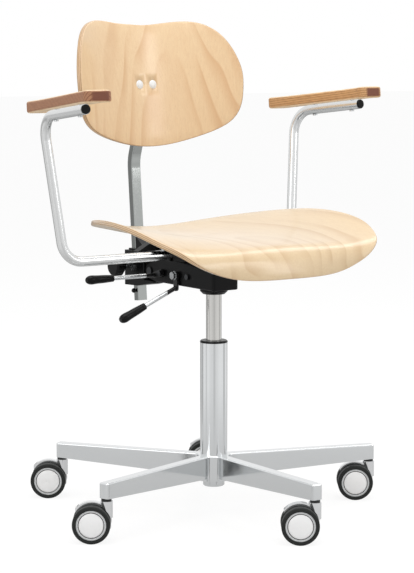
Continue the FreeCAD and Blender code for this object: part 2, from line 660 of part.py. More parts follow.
# Mechanism housing: a closed channel, open at the rear, with a socket for the gas spring.
body = new_body("mechanism_housing")
side = new_sketch(body, "housing_side", "YZ_Plane")
outline(side, [
    ("0 - housing_front", "housing_underside"), ("housing_waist", "housing_underside"),
    ("back_pivot_y", "pivot_height - housing_rear_radius"),
    ("back_pivot_y", "pivot_height + housing_rear_radius"), ("housing_waist", "housing_top"),
    ("housing_slope_start", "housing_top"), ("0 - housing_front", "housing_top - housing_front_drop")])
pad(body, side, "housing_width", both_ways=True)
rear_end = new_sketch(body, "housing_rear", "YZ_Plane")
circle(rear_end, "back_pivot_y", "pivot_height", "housing_rear_radius")
pad(body, rear_end, "housing_width", both_ways=True)
housing_front = -number("housing_front")
dress(body, "Fillet", "housing_front_rounding", lambda edge: upright(edge)
      and abs(middle(edge).y - housing_front) < TINY, "housing_front_edges")
half_width = number("housing_width / 2")
dress(body, "Fillet", "housing_edge_rounding", lambda edge: (
    flat_at(edge, number("housing_underside")) or flat_at(edge, number("housing_top")))
      and abs(abs(middle(edge).x) - half_width) < TINY, "housing_long_edges")
boss = new_sketch(body, "boss_plan", "XY_Plane", "boss_foot")
circle(boss, "0", "0", "boss_radius")
pad(body, boss, "housing_underside - boss_foot + housing_wall / 2")
dress(body, "Chamfer", "boss_chamfer", lambda edge: flat_at(edge, number("boss_foot")), "boss_edge")
inside = new_sketch(body, "housing_inside", "YZ_Plane")
outline(inside, [
    ("housing_wall - housing_front", "housing_underside + housing_wall"),
    ("housing_waist", "housing_underside + housing_wall"),
    ("back_pivot_y + housing_rear_radius + overrun", "pivot_height - housing_rear_radius - overrun / 2"),
    ("back_pivot_y + housing_rear_radius + overrun", "pivot_height + housing_rear_radius + overrun / 2"),
    ("housing_waist", "housing_top - housing_wall"), ("housing_slope_start", "housing_top - housing_wall"),
    ("housing_wall - housing_front", "housing_top - housing_front_drop - housing_wall")])
pocket(body, inside, "housing_width - housing_wall * 2", both_ways=True)
socket = new_sketch(body, "socket_plan", "XY_Plane", "boss_foot + boss_chamfer")
circle(socket, "0", "0", "spigot_radius + socket_wall")
pad(body, socket, "spigot_length - boss_chamfer")
socket_bore = new_sketch(body, "socket_bore", "XY_Plane", "boss_foot - overrun")
circle(socket_bore, "0", "0", "spigot_radius + fit_gap")
pocket(body, socket_bore, "overrun + spigot_length + fit_gap", backward=True)
for name, spot, radius in (("back", "back_pivot_y", "axle_radius"), ("tilt", "tilt_pivot_y", "bolt_radius"),
                           ("lift", "lift_pivot_y", "bolt_radius"), ("front", "front_bolt_y", "bolt_radius")):
    cross = new_sketch(body, name + "_cross_hole", "YZ_Plane")
    circle(cross, spot, "pivot_height", radius + " + fit_gap")
    pocket(body, cross, "housing_width + overrun", both_ways=True)
keep(body, "mechanism_housing")

# Back bracket: a block that holds the post, hung on the back's axle by a lug.
post_slope = "((post_knee_y - post_foot_y) / (post_knee - post_foot))"


def post_y(height):
    """Column axis to the middle of the post's straight part at a height, as a written sum."""
    return f"(post_foot_y + ({height} - post_foot) * {post_slope})"


body = new_body("back_bracket")
block = new_sketch(body, "block_side", "YZ_Plane")
outline(block, [
    ("tongue_reach", "tongue_underside"), ("bracket_front", "bracket_front_underside"),
    ("bracket_knee_y", "bracket_knee"), ("bracket_rear", "bracket_underside"),
    ("bracket_rear", "bracket_top"), ("bracket_front", "bracket_top"), ("bracket_front", "tongue_top"),
    ("tongue_reach", "tongue_top")])
pad(body, block, "bracket_width", both_ways=True)
dress(body, "Fillet", "bracket_edge_rounding", upright, "bracket_edges")
lug = new_sketch(body, "lug_side", "YZ_Plane")
outline(lug, [("back_pivot_y", "pivot_height - lug_height / 2"),
              ("bracket_front + housing_rear_radius", "pivot_height - lug_height / 2"),
              ("bracket_front + housing_rear_radius", "pivot_height + lug_height / 2"),
              ("back_pivot_y", "pivot_height + lug_height / 2")])
pad(body, lug, "lug_width", both_ways=True)
lug_eye = new_sketch(body, "lug_eye", "YZ_Plane")
circle(lug_eye, "back_pivot_y", "pivot_height", "lug_height / 2")
pad(body, lug_eye, "lug_width", both_ways=True)
rib = new_sketch(body, "rib_side", "YZ_Plane")
rib_back = post_y("rib_top") + " - post_thickness / 2"
outline(rib, [("rib_foot_y", "bracket_top - carrier_wall"), (rib_back, "bracket_top - carrier_wall"),
              (rib_back, "rib_top"), (rib_back + " - carrier_wall", "rib_top")])
pad(body, rib, "rib_width", both_ways=True)
collar = new_sketch(body, "collar_side", "YZ_Plane")
outline(collar, [(post_y("bracket_top") + " - post_thickness / 2 - collar_wall", "bracket_top - carrier_wall"),
                 ("bracket_rear - bracket_edge_rounding", "bracket_top - carrier_wall"),
                 ("bracket_rear - bracket_edge_rounding", "bracket_top + collar_height"),
                 (post_y("bracket_top") + " - post_thickness / 2 - collar_wall",
                  "bracket_top + collar_height")])
pad(body, collar, "post_width + collar_wall * 2", both_ways=True)
slot = new_sketch(body, "post_slot", "YZ_Plane")
slot_low = "(bracket_underside - overrun)"
slot_high = "(rib_top + overrun)"
slot_half = " (post_thickness / 2 + post_slot_slack)"
outline(slot, [(post_y(slot_low) + " -" + slot_half, slot_low), (post_y(slot_low) + " +" + slot_half, slot_low),
               (post_y(slot_high) + " +" + slot_half, slot_high),
               (post_y(slot_high) + " -" + slot_half, slot_high)])
pocket(body, slot, "post_width + run_gap * 2", both_ways=True)
axle_hole = new_sketch(body, "axle_hole", "YZ_Plane")
circle(axle_hole, "back_pivot_y", "pivot_height", "axle_radius + run_gap")
pocket(body, axle_hole, "lug_width + overrun", both_ways=True)
screw_hole = new_sketch(body, "screw_hole", "YZ_Plane", "0 - bracket_width")
circle(screw_hole, post_y("knob_height"), "knob_height", "screw_radius + run_gap")
pocket(body, screw_hole, "bracket_width", backward=True)
bolt_hole = new_sketch(body, "bracket_bolt_hole", "YZ_Plane")
circle(bolt_hole, "bracket_bolt_y", "pivot_height", "bolt_radius + fit_gap")
pocket(body, bolt_hole, "bracket_width + overrun", both_ways=True)
keep(body, "back_bracket")


def cross_pin(name, spot, corners):
    """A piece turned about a cross axis at the height of the row of bolts."""
    made = turning(name, corners)
    place(made, "0", spot, "pivot_height", Rotation(Vector(0, 1, 0), -90))
    return keep(made, name)


# Pins across the housing. Their outlines run from the sitter's left to the sitter's right.
side_out = "(housing_width / 2 + fit_gap)"
cross_pin("back_pivot_axle", "back_pivot_y", [
    ("0", f"0 - {side_out} - axle_head"), ("axle_head_radius", f"0 - {side_out} - axle_head"),
    ("axle_head_radius", f"0 - {side_out}"), ("axle_radius", f"0 - {side_out}"),
    ("axle_radius", side_out), ("axle_head_radius", side_out),
    ("axle_head_radius", side_out + " + axle_head"), ("0", side_out + " + axle_head")])
cross_pin("front_bolt", "front_bolt_y", [
    ("0", f"0 - {side_out} - bolt_head"), ("bolt_head_radius", f"0 - {side_out} - bolt_head"),
    ("bolt_head_radius", f"0 - {side_out}"), ("bolt_radius", f"0 - {side_out}"),
    ("bolt_radius", side_out), ("bolt_head_radius", side_out),
    ("bolt_head_radius", side_out + " + bolt_head"), ("0", side_out + " + bolt_head")])
bracket_out = "(bracket_width / 2 + fit_gap)"
cross_pin("bracket_bolt", "bracket_bolt_y", [
    ("0", f"0 - {bracket_out} - bolt_head"), ("bolt_head_radius", f"0 - {bracket_out} - bolt_head"),
    ("bolt_head_radius", f"0 - {bracket_out}"), ("bolt_radius", f"0 - {bracket_out}"),
    ("bolt_radius", bracket_out), ("bolt_head_radius", bracket_out),
    ("bolt_head_radius", bracket_out + " + bolt_head"), ("0", bracket_out + " + bolt_head")])
lever_out = "(housing_width / 2 + lever_plate_gap + lever_plate + lever_plate_gap)"
cross_pin("tilt_lever_bolt", "tilt_pivot_y", [
    ("0", f"0 - {side_out} - bolt_head"), ("bolt_head_radius", f"0 - {side_out} - bolt_head"),
    ("bolt_head_radius", f"0 - {side_out}"), ("bolt_radius", f"0 - {side_out}"),
    ("bolt_radius", lever_out), ("bolt_head_radius", lever_out),
    ("bolt_head_radius", lever_out + " + bolt_head"), ("0", lever_out + " + bolt_head")])
body = cross_pin("lift_lever_bolt", "lift_pivot_y", [
    ("0", f"0 - {side_out} - bolt_head"), ("bolt_head_radius", f"0 - {side_out} - bolt_head"),
    ("bolt_head_radius", f"0 - {side_out}"), ("bolt_radius", f"0 - {side_out}"),
    ("bolt_radius", lever_out), ("washer_radius", lever_out),
    ("washer_radius", lever_out + " + washer_thickness"), ("0", lever_out + " + washer_thickness")])
nut = new_sketch(body, "nut_plan", "XY_Plane", lever_out + " + washer_thickness")
corner = f"(lift_nut_width / 2 / {HEXAGON_SHARE})"
outline(nut, [(corner, "0"), (corner + " / 2", "lift_nut_width / 2"),
              ("0 - " + corner + " / 2", "lift_nut_width / 2"), ("0 - " + corner, "0"),
              ("0 - " + corner + " / 2", "0 - lift_nut_width / 2"),
              (corner + " / 2", "0 - lift_nut_width / 2")])
pad(body, nut, "lift_nut_height")


def lever(name, pivot_y, crank_y, crank_height, length, fall):
    """A lever: a flat end on its bolt and a rod welded to it. Its rod points to the right of the
    sitter and falls by an angle in degrees."""
    eye = "lever_eye_radius"
    end = "lever_end_radius"
    plate_at = "(housing_width / 2 + lever_plate_gap)"
    span_y = number(f"{crank_y} - {pivot_y}")
    span_z = number(f"{crank_height} - pivot_height")
    span = math.hypot(span_y, span_z)
    lean_y, lean_z = span_y / span, span_z / span
    near, far = number(eye), number(end)
    arm = doc.addObject("Part::Feature", name + "_arm")
    near_y, near_z = number(pivot_y), number("pivot_height")
    far_y, far_z = number(crank_y), number(crank_height)
    left = -number(plate_at)
    rim = [Vector(left, near_y - lean_z * near, near_z + lean_y * near),
           Vector(left, far_y - lean_z * far, far_z + lean_y * far),
           Vector(left, far_y + lean_z * far, far_z - lean_y * far),
           Vector(left, near_y + lean_z * near, near_z - lean_y * near)]
    thick = Vector(-number("lever_plate"), 0, 0)
    web = Part.Face(Part.makePolygon(rim + rim[:1])).extrude(thick)
    sideways = Vector(-1, 0, 0)
    thickness = number("lever_plate")
    discs = [Part.makeCylinder(near, thickness, Vector(left, near_y, near_z), sideways),
             Part.makeCylinder(far, thickness, Vector(left, far_y, far_z), sideways)]
    fall_angle = math.radians(fall)
    run = Vector(-math.cos(fall_angle), 0, -math.sin(fall_angle))
    root = Vector(left - number("lever_rod_radius"), far_y, far_z)
    rod = Part.makeCylinder(number("lever_rod_radius"), length, root, run)
    knuckle = Part.makeSphere(number("lever_rod_radius"), root)
    bored = Part.makeCylinder(number("bolt_radius + run_gap"), thickness + number("overrun") * 2,
                              Vector(left + number("overrun"), near_y, near_z), sideways)
    arm.Shape = web.fuse(discs + [rod, knuckle]).removeSplitter().cut(bored)
    keep(arm, name)
    return root, run


rod_root = "(housing_width / 2 + lever_plate_gap + lever_rod_radius)"
tilt_rod = number(f"tilt_lever_reach - {rod_root} - grip_end_wall")
lift_rod = number("lift_lever_length - grip_end_wall")
tilt_root, tilt_run = lever("tilt_lever", "tilt_pivot_y", "tilt_crank_y", "tilt_crank_height", tilt_rod, 0)
lift_root, lift_run = lever("lift_lever", "lift_pivot_y", "lift_crank_y", "lift_crank_height", lift_rod,
                            number("lift_lever_fall"))


def grip(name, root, run, rod_length):
    """A hand grip turned about a lever's rod, thickest past its middle, with a rounded tip."""
    neck, full = number("grip_neck_radius"), number("grip_radius")
    length, tip = number("grip_length"), number("grip_tip")
    start = rod_length + number("grip_end_wall") - length
    side_line = [Vector(neck + (full - neck) * swell, 0, start + (length - tip) * place_share)
                 for place_share, swell in GRIP_SHARES]
    end = start + length
    side_line.append(Vector(number("grip_tip_radius"), 0, end))
    curve = Part.BSplineCurve()
    curve.interpolate(side_line)
    rod_end = rod_length + number("fit_gap")
    hole = number("lever_rod_radius + fit_gap")
    rim = [side_line[-1], Vector(0, 0, end), Vector(0, 0, rod_end), Vector(hole, 0, rod_end),
           Vector(hole, 0, start), side_line[0]]
    edges = [curve.toShape()] + [Part.makeLine(rim[i], rim[i + 1]) for i in range(len(rim) - 1)]
    solid = Part.Face(Part.Wire(edges)).revolve(Vector(), Vector(0, 0, 1), 360)
    shaped = doc.addObject("Part::Feature", name + "_shape")
    shaped.Shape = solid
    shaped.Placement = Placement(root, Rotation(Vector(0, 0, 1), run))
    return keep(shaped, name)


grip("tilt_lever_grip", tilt_root, tilt_run, tilt_rod)
grip("lift_lever_grip", lift_root, lift_run, lift_rod)

# Height knob and its clamping screw, which ends short of the post's side.
knob_turn = Rotation(Vector(0, 1, 0), -90)
screw_end = "(post_width / 2 + screw_end_gap)"
knob_start = "(bracket_width / 2 + knob_standoff)"
rim_start = "(bracket_width / 2 + knob_standoff + knob_hub_length)"
body = turning("height_knob_screw", [
    ("0", screw_end), ("screw_radius", screw_end), ("screw_radius", "bracket_width / 2 + fit_gap"),
    ("screw_collar_radius", "bracket_width / 2 + fit_gap"), ("screw_collar_radius", knob_start + " - fit_gap"),
    ("screw_radius", knob_start + " - fit_gap"), ("screw_radius", knob_start + " + screw_in_knob"),
    ("0", knob_start + " + screw_in_knob")])
place(body, "0", post_y("knob_height"), "knob_height", knob_turn)
keep(body, "height_knob_screw")
body = turning("height_knob", [
    ("screw_radius + fit_gap", knob_start), ("knob_hub_radius", knob_start),
    ("knob_hub_radius", rim_start), ("knob_radius - knob_rounding", rim_start),
    ("knob_radius", rim_start + " + knob_rounding"),
    ("knob_radius", rim_start + " + knob_length - knob_rounding"),
    ("knob_radius - knob_rounding", rim_start + " + knob_length"), ("0", rim_start + " + knob_length"),
    ("0", knob_start + " + screw_in_knob + fit_gap"),
    ("screw_radius + fit_gap", knob_start + " + screw_in_knob + fit_gap")])
flute = new_sketch(body, "flute", "XY_Plane", rim_start + " - fit_gap")
circle(flute, "knob_radius + knob_flute_radius / 3", "0", "knob_flute_radius")
flute_cut = pocket(body, flute, "knob_length + overrun", backward=True)
repeat(body, [flute_cut], "knob_flute_count", "flutes")
place(body, "0", post_y("knob_height"), "knob_height", knob_turn)
keep(body, "height_knob")


def point(x, y, z):
    """A point given by written sums."""
    return Vector(number(x), number(y), number(z))


def bent_path(spots, bends):
    """Straight runs through spots, with an arc of the given radius at each spot between."""
    edges = []
    start = spots[0]
    for i, radius in enumerate(bends, start=1):
        back = (spots[i - 1] - spots[i]).normalize()
        ahead = (spots[i + 1] - spots[i]).normalize()
        half = back.getAngle(ahead) / 2
        inward = (back + ahead).normalize()
        centre = spots[i] + inward * (radius / math.sin(half))
        first = spots[i] + back * (radius / math.tan(half))
        last = spots[i] + ahead * (radius / math.tan(half))
        edges.append(Part.makeLine(start, first))
        edges.append(Part.Arc(first, centre - inward * radius, last).toShape())
        start = last
    edges.append(Part.makeLine(start, spots[-1]))
    return Part.Wire(edges)


def solid_part(name, shape, node=True):
    """A sub-part whose shape comes from Part's own functions."""
    made = doc.addObject("Part::Feature", name + "_shape")
    made.Shape = shape
    if node:
        keep(made, name)
    return made


def pin_along(radius, length, start, run):
    return Part.makeCylinder(number(radius), length, start, run)


# Back post: a bar bent at a knee and a neck, so that its upper end lies behind the backrest.
lean = math.radians(VALUES["back_lean"])
up_back = Vector(0, math.sin(lean), math.cos(lean))
out_back = Vector(0, math.cos(lean), -math.sin(lean))
back_spot = point("0", "back_y", "back_height")
plate_front = number("back_ply + plate_gap")
post_line = back_spot + out_back * (plate_front + number("plate_thickness + post_thickness / 2"))
post_start = point("0", "post_foot_y", "post_foot")
post_bends = [number("post_knee_bend"), number("post_neck_bend")]
post_path = bent_path([post_start, point("0", "post_knee_y", "post_knee"),
                       post_line - up_back * number("post_neck_below"),
                       post_line + up_back * number("post_head_above")], post_bends)
post_run = (point("0", "post_knee_y", "post_knee") - post_start).normalize()
post_side = Vector(1, 0, 0)
post_fore = post_run.cross(post_side)
half_wide, half_thick = number("post_width / 2"), number("post_thickness / 2")
ring = [post_start + post_side * (half_wide * a) + post_fore * (half_thick * b)
        for a, b in ((0, -1), (1, -1), (1, 1), (-1, 1), (-1, -1), (0, -1))]
section = bent_path(ring, [number("post_edge")] * 4)
bar = post_path.makePipeShell([Part.Wire(section.Edges)], True, False)
stop_spot = point("0 - post_width / 2", post_y("stop_height"), "stop_height")
stop_hole = pin_along("stop_shank_radius + fit_gap", number("stop_depth + fit_gap"), stop_spot, post_side)
solid_part("back_post", bar.cut(stop_hole))
stop_ball = Part.makeSphere(number("stop_radius"), stop_spot - post_side * number("stop_radius"))
stop_shank = pin_along("stop_shank_radius", number("stop_depth + stop_radius"),
                       stop_spot - post_side * number("stop_radius"), post_side)
clear_of_post = Part.makeBox(number("stop_depth"), number("stop_radius * 2"), number("stop_radius * 2"),
                             stop_spot - Vector(0, number("stop_radius"), number("stop_radius")))
solid_part("post_stop", stop_ball.cut(clear_of_post).fuse(stop_shank).removeSplitter())


def spread(low, high, count):
    """Evenly spread numbers from low to high."""
    return [low + (high - low) * i / (count - 1) for i in range(count)]


def moulded(spot_at, across, along, rim, pull, thickness, rounding):
    """A moulded shell: a curved face through spots, trimmed by a rim that is pulled along an axis,
    then thickened away from the face and rounded at its edges. Returns the shell and the trimmed
    face."""
    surface = Part.BSplineSurface()
    surface.interpolate([[spot_at(u, v) for v in along] for u in across])
    spots = [spot_at(u, v) for u, v in rim]
    low = min(spot.dot(pull) for spot in spots) - thickness * 2
    high = max(spot.dot(pull) for spot in spots) + thickness * 2
    flat = Part.BSplineCurve()
    flat.interpolate([spot + pull * (low - spot.dot(pull)) for spot in spots], True)
    first, last = flat.FirstParameter, flat.LastParameter
    cuts = spread(first, last, int(VALUES["rim_edges"]) + 1)
    edges = []
    for start, end in zip(cuts, cuts[1:]):
        stretch = flat.copy()
        stretch.segment(start, end)
        edges.append(stretch.toShape())
    cutter = Part.Face(Part.Wire(edges)).extrude(pull * (high - low) * 2)
    face = surface.toShape().common(cutter).Faces[0]
    shell = face.makeOffsetShape(-thickness, TINY, fill=True)
    long_edges = [edge for edge in shell.Edges if edge.Length > thickness * 8]
    return shell.makeFillet(rounding, long_edges), face


# Backrest: plywood moulded across and, less, up and down, bolted to a plate on the post.
cross_curve = 1 / VALUES["back_cross_radius"]
long_curve = 1 / VALUES["back_long_radius"]
half_back, tall_back = VALUES["back_half_width"], VALUES["back_half_height"]


def back_spot_at(u, v):
    """A point of the backrest's face: u across and v upward along it."""
    curve = cross_curve * (1 + BACK_TWIST_SHARE * v / tall_back)
    depth = curve * u * u / 2 - BACK_FLATTER_SHARE * u ** 4 * cross_curve ** 3 - long_curve * v * v / 2
    x = u * (1 - (cross_curve * u) ** 2 / 6)
    return back_spot - out_back * depth + up_back * v + Vector(x, 0, 0)


half_rim = [(u * half_back, v * tall_back) for u, v in BACK_OUTLINE_SHARES]
mirrored_rim = [(-u, v) for u, v in reversed(half_rim[1:])]
back_rim = half_rim + [(0, BACK_OUTLINE_FOOT_SHARE * tall_back)] + mirrored_rim
back_reach = VALUES["back_ply"] * 2
back_shell, back_face = moulded(
    back_spot_at, spread(-half_back - back_reach, half_back + back_reach, 9),
    spread(-tall_back - back_reach, tall_back + back_reach, 7), back_rim, out_back * -1,
    VALUES["back_ply"], VALUES["back_rounding"])
plate = Part.makeBox(VALUES["plate_width"], VALUES["plate_thickness"], VALUES["plate_height"])
plate.Placement = Placement(
    back_spot + out_back * plate_front - up_back * number("plate_height / 2")
    - Vector(number("plate_width / 2"), 0, 0), Rotation(Vector(1, 0, 0), -VALUES["back_lean"]))
bolt_solids = []
for side in (-1, 1):
    spot = back_spot + Vector(side * VALUES["back_bolt_half"], 0, 0)
    through = pin_along("back_bolt_radius + fit_gap", number("overrun * 2"),
                        spot - out_back * VALUES["overrun"], out_back)
    dome_rise, dome_radius = VALUES["back_bolt_cap"], VALUES["back_bolt_cap_radius"]
    ball = (dome_radius ** 2 + dome_rise ** 2) / (2 * dome_rise)
    dome = Part.makeSphere(ball, spot + out_back * (ball - dome_rise))
    cap = dome.common(pin_along("back_bolt_cap_radius", ball, spot + out_back * dome_rise, out_back * -1))
    cap = cap.cut(back_shell)
    cap = max(cap.Solids, key=lambda solid: -solid.CenterOfMass.dot(out_back))
    shank_end = number("back_ply + plate_gap + plate_thickness + fit_gap")
    shank = pin_along("back_bolt_radius", shank_end + dome_rise / 2, spot - out_back * (dome_rise / 2), out_back)
    nut = pin_along("back_bolt_nut_radius", VALUES["back_bolt_end"], spot + out_back * shank_end, out_back)
    bolt_solids.append(cap.fuse([shank, nut]).removeSplitter().Solids[0])
    back_shell = back_shell.cut(through)
    plate = plate.cut(through)
solid_part("backrest_shell", back_shell)
solid_part("back_mount_plate", plate)
solid_part("backrest_screws", Part.Compound(bolt_solids))

# Arms: one tube, bent four times, that runs through under the seat, with plugs, pads and screws.
tube_radius, tube_bore = VALUES["tube_radius"], number("tube_radius - tube_wall")
end_spots = {side: Vector(side * number("tube_end_half"), -number("tube_end_y"), number("tube_end"))
             for side in (-1, 1)}
high_spots = {side: Vector(side * number("tube_high_half"), number("tube_high_y"), number("tube_high"))
              for side in (-1, 1)}
low_spots = {side: Vector(side * number("tube_low_half"), number("tube_y"), number("tube_height"))
             for side in (-1, 1)}
tube_spots = [end_spots[-1], high_spots[-1], low_spots[-1], low_spots[1], high_spots[1], end_spots[1]]
tube_bends = [number(f"tube_{name}_bend") for name in ("high", "low", "low", "high")]
tube_path = bent_path(tube_spots, tube_bends)
first_run = (tube_spots[1] - tube_spots[0]).normalize()


def hose(radius):
    """A round bar along the arm tube's path."""
    section = Part.Wire(Part.makeCircle(radius, tube_spots[0], first_run))
    return tube_path.makePipeShell([section], True, False)


tube = hose(tube_radius).cut(hose(tube_bore))
plugs, pad_screws = [], []
for side in (-1, 1):
    spot = end_spots[side]
    run = (high_spots[side] - spot).normalize()
    level = Vector(run.y, -run.x, 0).normalize()
    if level.x * side < 0:
        level = level * -1
    up = run.cross(level) * side * -1
    head = pin_along("plug_radius", VALUES["plug_head"], spot - run * number("plug_head + fit_gap"), run)
    rim = [edge for edge in head.Edges if (edge.CenterOfMass - spot).dot(run) < -number("plug_head")]
    head = head.makeFillet(number("plug_head / 2"), rim)
    stub = Part.makeCylinder(tube_bore - VALUES["fit_gap"], number("plug_depth + fit_gap * 2"),
                             spot - run * number("fit_gap * 2"), run)
    plugs.append(head.fuse(stub).removeSplitter())

    # The pad: its plan pulled up along the tube's upward side, cut by its profile.
    turn = math.atan2(-run.x * side, run.y) - math.radians(VALUES["pad_turn"])
    along = (run * math.cos(turn) + level * math.sin(turn)).normalize()
    outward = up.cross(along) * side
    seat_at = spot + up * number("tube_radius + rest_gap") + outward * VALUES["pad_outward"]
    nose, tail, half = -VALUES["pad_front"], VALUES["pad_back"], number("pad_width / 2")
    corner, length = VALUES["pad_corner"], number("pad_front + pad_back")

    def plan(x, y, lift=0.0):
        return seat_at + outward * x + along * y + up * lift

    hollow = Part.BSplineCurve()
    hollow.interpolate([plan(half, nose + corner)] + [
        plan(half - VALUES["pad_waist"] * deep, nose + length * reach) for reach, deep in PAD_SIDE_SHARES]
        + [plan(half, tail - corner)], InitialTangent=along, FinalTangent=along)
    quarter = corner * CORNER_SHARE
    low, high = VALUES["pad_nose_thickness"], VALUES["pad_nose_thickness"] * 2
    edges = [
        hollow.toShape(),
        Part.Arc(plan(half, tail - corner), plan(half - quarter, tail - quarter), plan(half - corner, tail)),
        Part.LineSegment(plan(half - corner, tail), plan(corner - half, tail)),
        Part.Arc(plan(corner - half, tail), plan(quarter - half, tail - quarter), plan(-half, tail - corner)),
        Part.LineSegment(plan(-half, tail - corner), plan(-half, nose + corner)),
        Part.Arc(plan(-half, nose + corner), plan(quarter - half, nose + quarter), plan(corner - half, nose)),
        Part.LineSegment(plan(corner - half, nose), plan(half - corner, nose)),
        Part.Arc(plan(half - corner, nose), plan(half - quarter, nose + quarter), plan(half, nose + corner))]
    edges = [edge.translated(up * -low) if hasattr(edge, "ShapeType") else
             edge.toShape().translated(up * -low) for edge in edges]
    block = Part.Face(Part.Wire(edges)).extrude(up * (low + high))

    thick, drop = VALUES["pad_thickness"], number("pad_nose_thickness - pad_thickness")
    drop_from = -VALUES["pad_nose_drop_start"]
    belly, back = Part.BezierCurve(), Part.BezierCurve()
    middle_y = (drop_from + nose) / 2
    belly.setPoles([plan(-length, drop_from), plan(-length, middle_y), plan(-length, middle_y, -drop),
                    plan(-length, nose, -drop)])
    half_tail = tail / 2
    back.setPoles([plan(-length, tail, VALUES["pad_tail_thickness"]),
                   plan(-length, half_tail + half_tail / 2, thick), plan(-length, half_tail, thick)])
    over = VALUES["pad_corner"]
    side_edges = [
        Part.LineSegment(plan(-length, tail + over), plan(-length, drop_from)).toShape(), belly.toShape(),
        Part.LineSegment(plan(-length, nose, -drop), plan(-length, nose - over, -drop)).toShape(),
        Part.LineSegment(plan(-length, nose - over, -drop), plan(-length, nose - over, thick)).toShape(),
        Part.LineSegment(plan(-length, nose - over, thick), plan(-length, half_tail, thick)).toShape(),
        back.toShape(),
        Part.LineSegment(plan(-length, tail, VALUES["pad_tail_thickness"]),
                         plan(-length, tail + over, VALUES["pad_tail_thickness"])).toShape(),
        Part.LineSegment(plan(-length, tail + over, VALUES["pad_tail_thickness"]),
                         plan(-length, tail + over)).toShape()]
    profile = Part.Face(Part.Wire(Part.__sortEdges__(side_edges))).extrude(outward * (length * 2))
    pad_solid = block.common(profile).removeSplitter()
    rims = [edge for edge in pad_solid.Edges
            if abs((edge.Vertexes[-1].Point - edge.Vertexes[0].Point).dot(up)) < VALUES["pad_tail_thickness"] / 2]
    pad_solid = pad_solid.makeFillet(VALUES["pad_edge"], rims)
    for reach in ("pad_screw_first", "pad_screw_second"):
        foot = spot + run * VALUES[reach] - up * tube_radius
        depth = number("tube_radius * 2 + rest_gap + pad_screw_depth")
        shank = pin_along("pad_screw_radius", depth, foot, up)
        head = pin_along("pad_screw_head_radius", VALUES["pad_screw_head"], foot, up * -1)
        pad_screws.append(head.fuse(shank).removeSplitter())
        hole = pin_along("pad_screw_radius + fit_gap", depth + VALUES["fit_gap"] * 2,
                         foot - up * VALUES["fit_gap"], up)
        tube = tube.cut(hole)
        pad_solid = pad_solid.cut(hole)
    solid_part("arm_pad_left" if side > 0 else "arm_pad_right", pad_solid)

# Seat carrier: a foot on the housing, a top plate and wings that fall away behind the arm tube.
body = new_body("seat_carrier")
top = new_sketch(body, "top_plan", "XY_Plane", "carrier_top - carrier_wall")
outline(top, [("0 - carrier_shoulder", "carrier_front"), ("carrier_shoulder", "carrier_front"),
              ("carrier_shoulder", "carrier_rear"), ("0 - carrier_shoulder", "carrier_rear")])
pad(body, top, "carrier_wall")
foot = new_sketch(body, "foot_plan", "XY_Plane", "housing_top + fit_gap")
outline(foot, [("0 - carrier_foot_half", "carrier_front"), ("carrier_foot_half", "carrier_front"),
               ("carrier_foot_half", "carrier_rear"), ("0 - carrier_foot_half", "carrier_rear")])
pad(body, foot, "carrier_top - housing_top - carrier_wall")
wing_low = "(tube_height + tube_radius + rest_gap)"
wing = new_sketch(body, "wing_section", "XZ_Plane", "0 - (carrier_rear + carrier_wing_front) / 2")
outline(wing, [("0 - carrier_half", wing_low), ("carrier_half", wing_low), ("carrier_shoulder", "carrier_top"),
               ("0 - carrier_shoulder", "carrier_top")])
pad(body, wing, "carrier_rear - carrier_wing_front", both_ways=True)
hollow_reach = "(carrier_half - carrier_wall * 3)"
for name, sign in (("right_hollow", "0 - "), ("left_hollow", "")):
    hollow = new_sketch(body, name, "XZ_Plane", "0 - (carrier_rear + carrier_wing_front) / 2")
    outline(hollow, [(f"{sign}carrier_foot_half", wing_low + " - carrier_wall"),
                     (f"{sign}{hollow_reach}", wing_low + " - carrier_wall"),
                     (f"{sign}{hollow_reach}", wing_low),
                     (f"{sign}(carrier_shoulder - carrier_wall)", "carrier_top - carrier_wall"),
                     (f"{sign}carrier_foot_half", "carrier_top - carrier_wall")])
    pocket(body, hollow, "carrier_rear - carrier_wing_front - carrier_wall * 2", both_ways=True)
groove = new_sketch(body, "tube_groove", "YZ_Plane")
circle(groove, "tube_y", "tube_height", "tube_radius + rest_gap")
pocket(body, groove, "carrier_half * 2 + overrun", both_ways=True)
mouth = new_sketch(body, "groove_mouth", "YZ_Plane")
outline(mouth, [("tube_y - tube_radius - rest_gap", "housing_top - overrun"),
                ("tube_y + tube_radius + rest_gap", "housing_top - overrun"),
                ("tube_y + tube_radius + rest_gap", "tube_height"),
                ("tube_y - tube_radius - rest_gap", "tube_height")])
pocket(body, mouth, "carrier_half * 2 + overrun", both_ways=True)
drill = new_sketch(body, "drill_plan", "XY_Plane", "carrier_top - carrier_wall * 2")
for sign in ("0 - ", ""):
    circle(drill, f"{sign}clamp_bolt_half", "tube_y", "clamp_bolt_radius + fit_gap")
    circle(drill, f"{sign}seat_screw_half", "carrier_front + seat_screw_inset", "seat_screw_radius + fit_gap")
    circle(drill, f"{sign}seat_screw_half", "carrier_rear - seat_screw_inset", "seat_screw_radius + fit_gap")
pocket(body, drill, "carrier_wall * 3", backward=True)
keep(body, "seat_carrier")

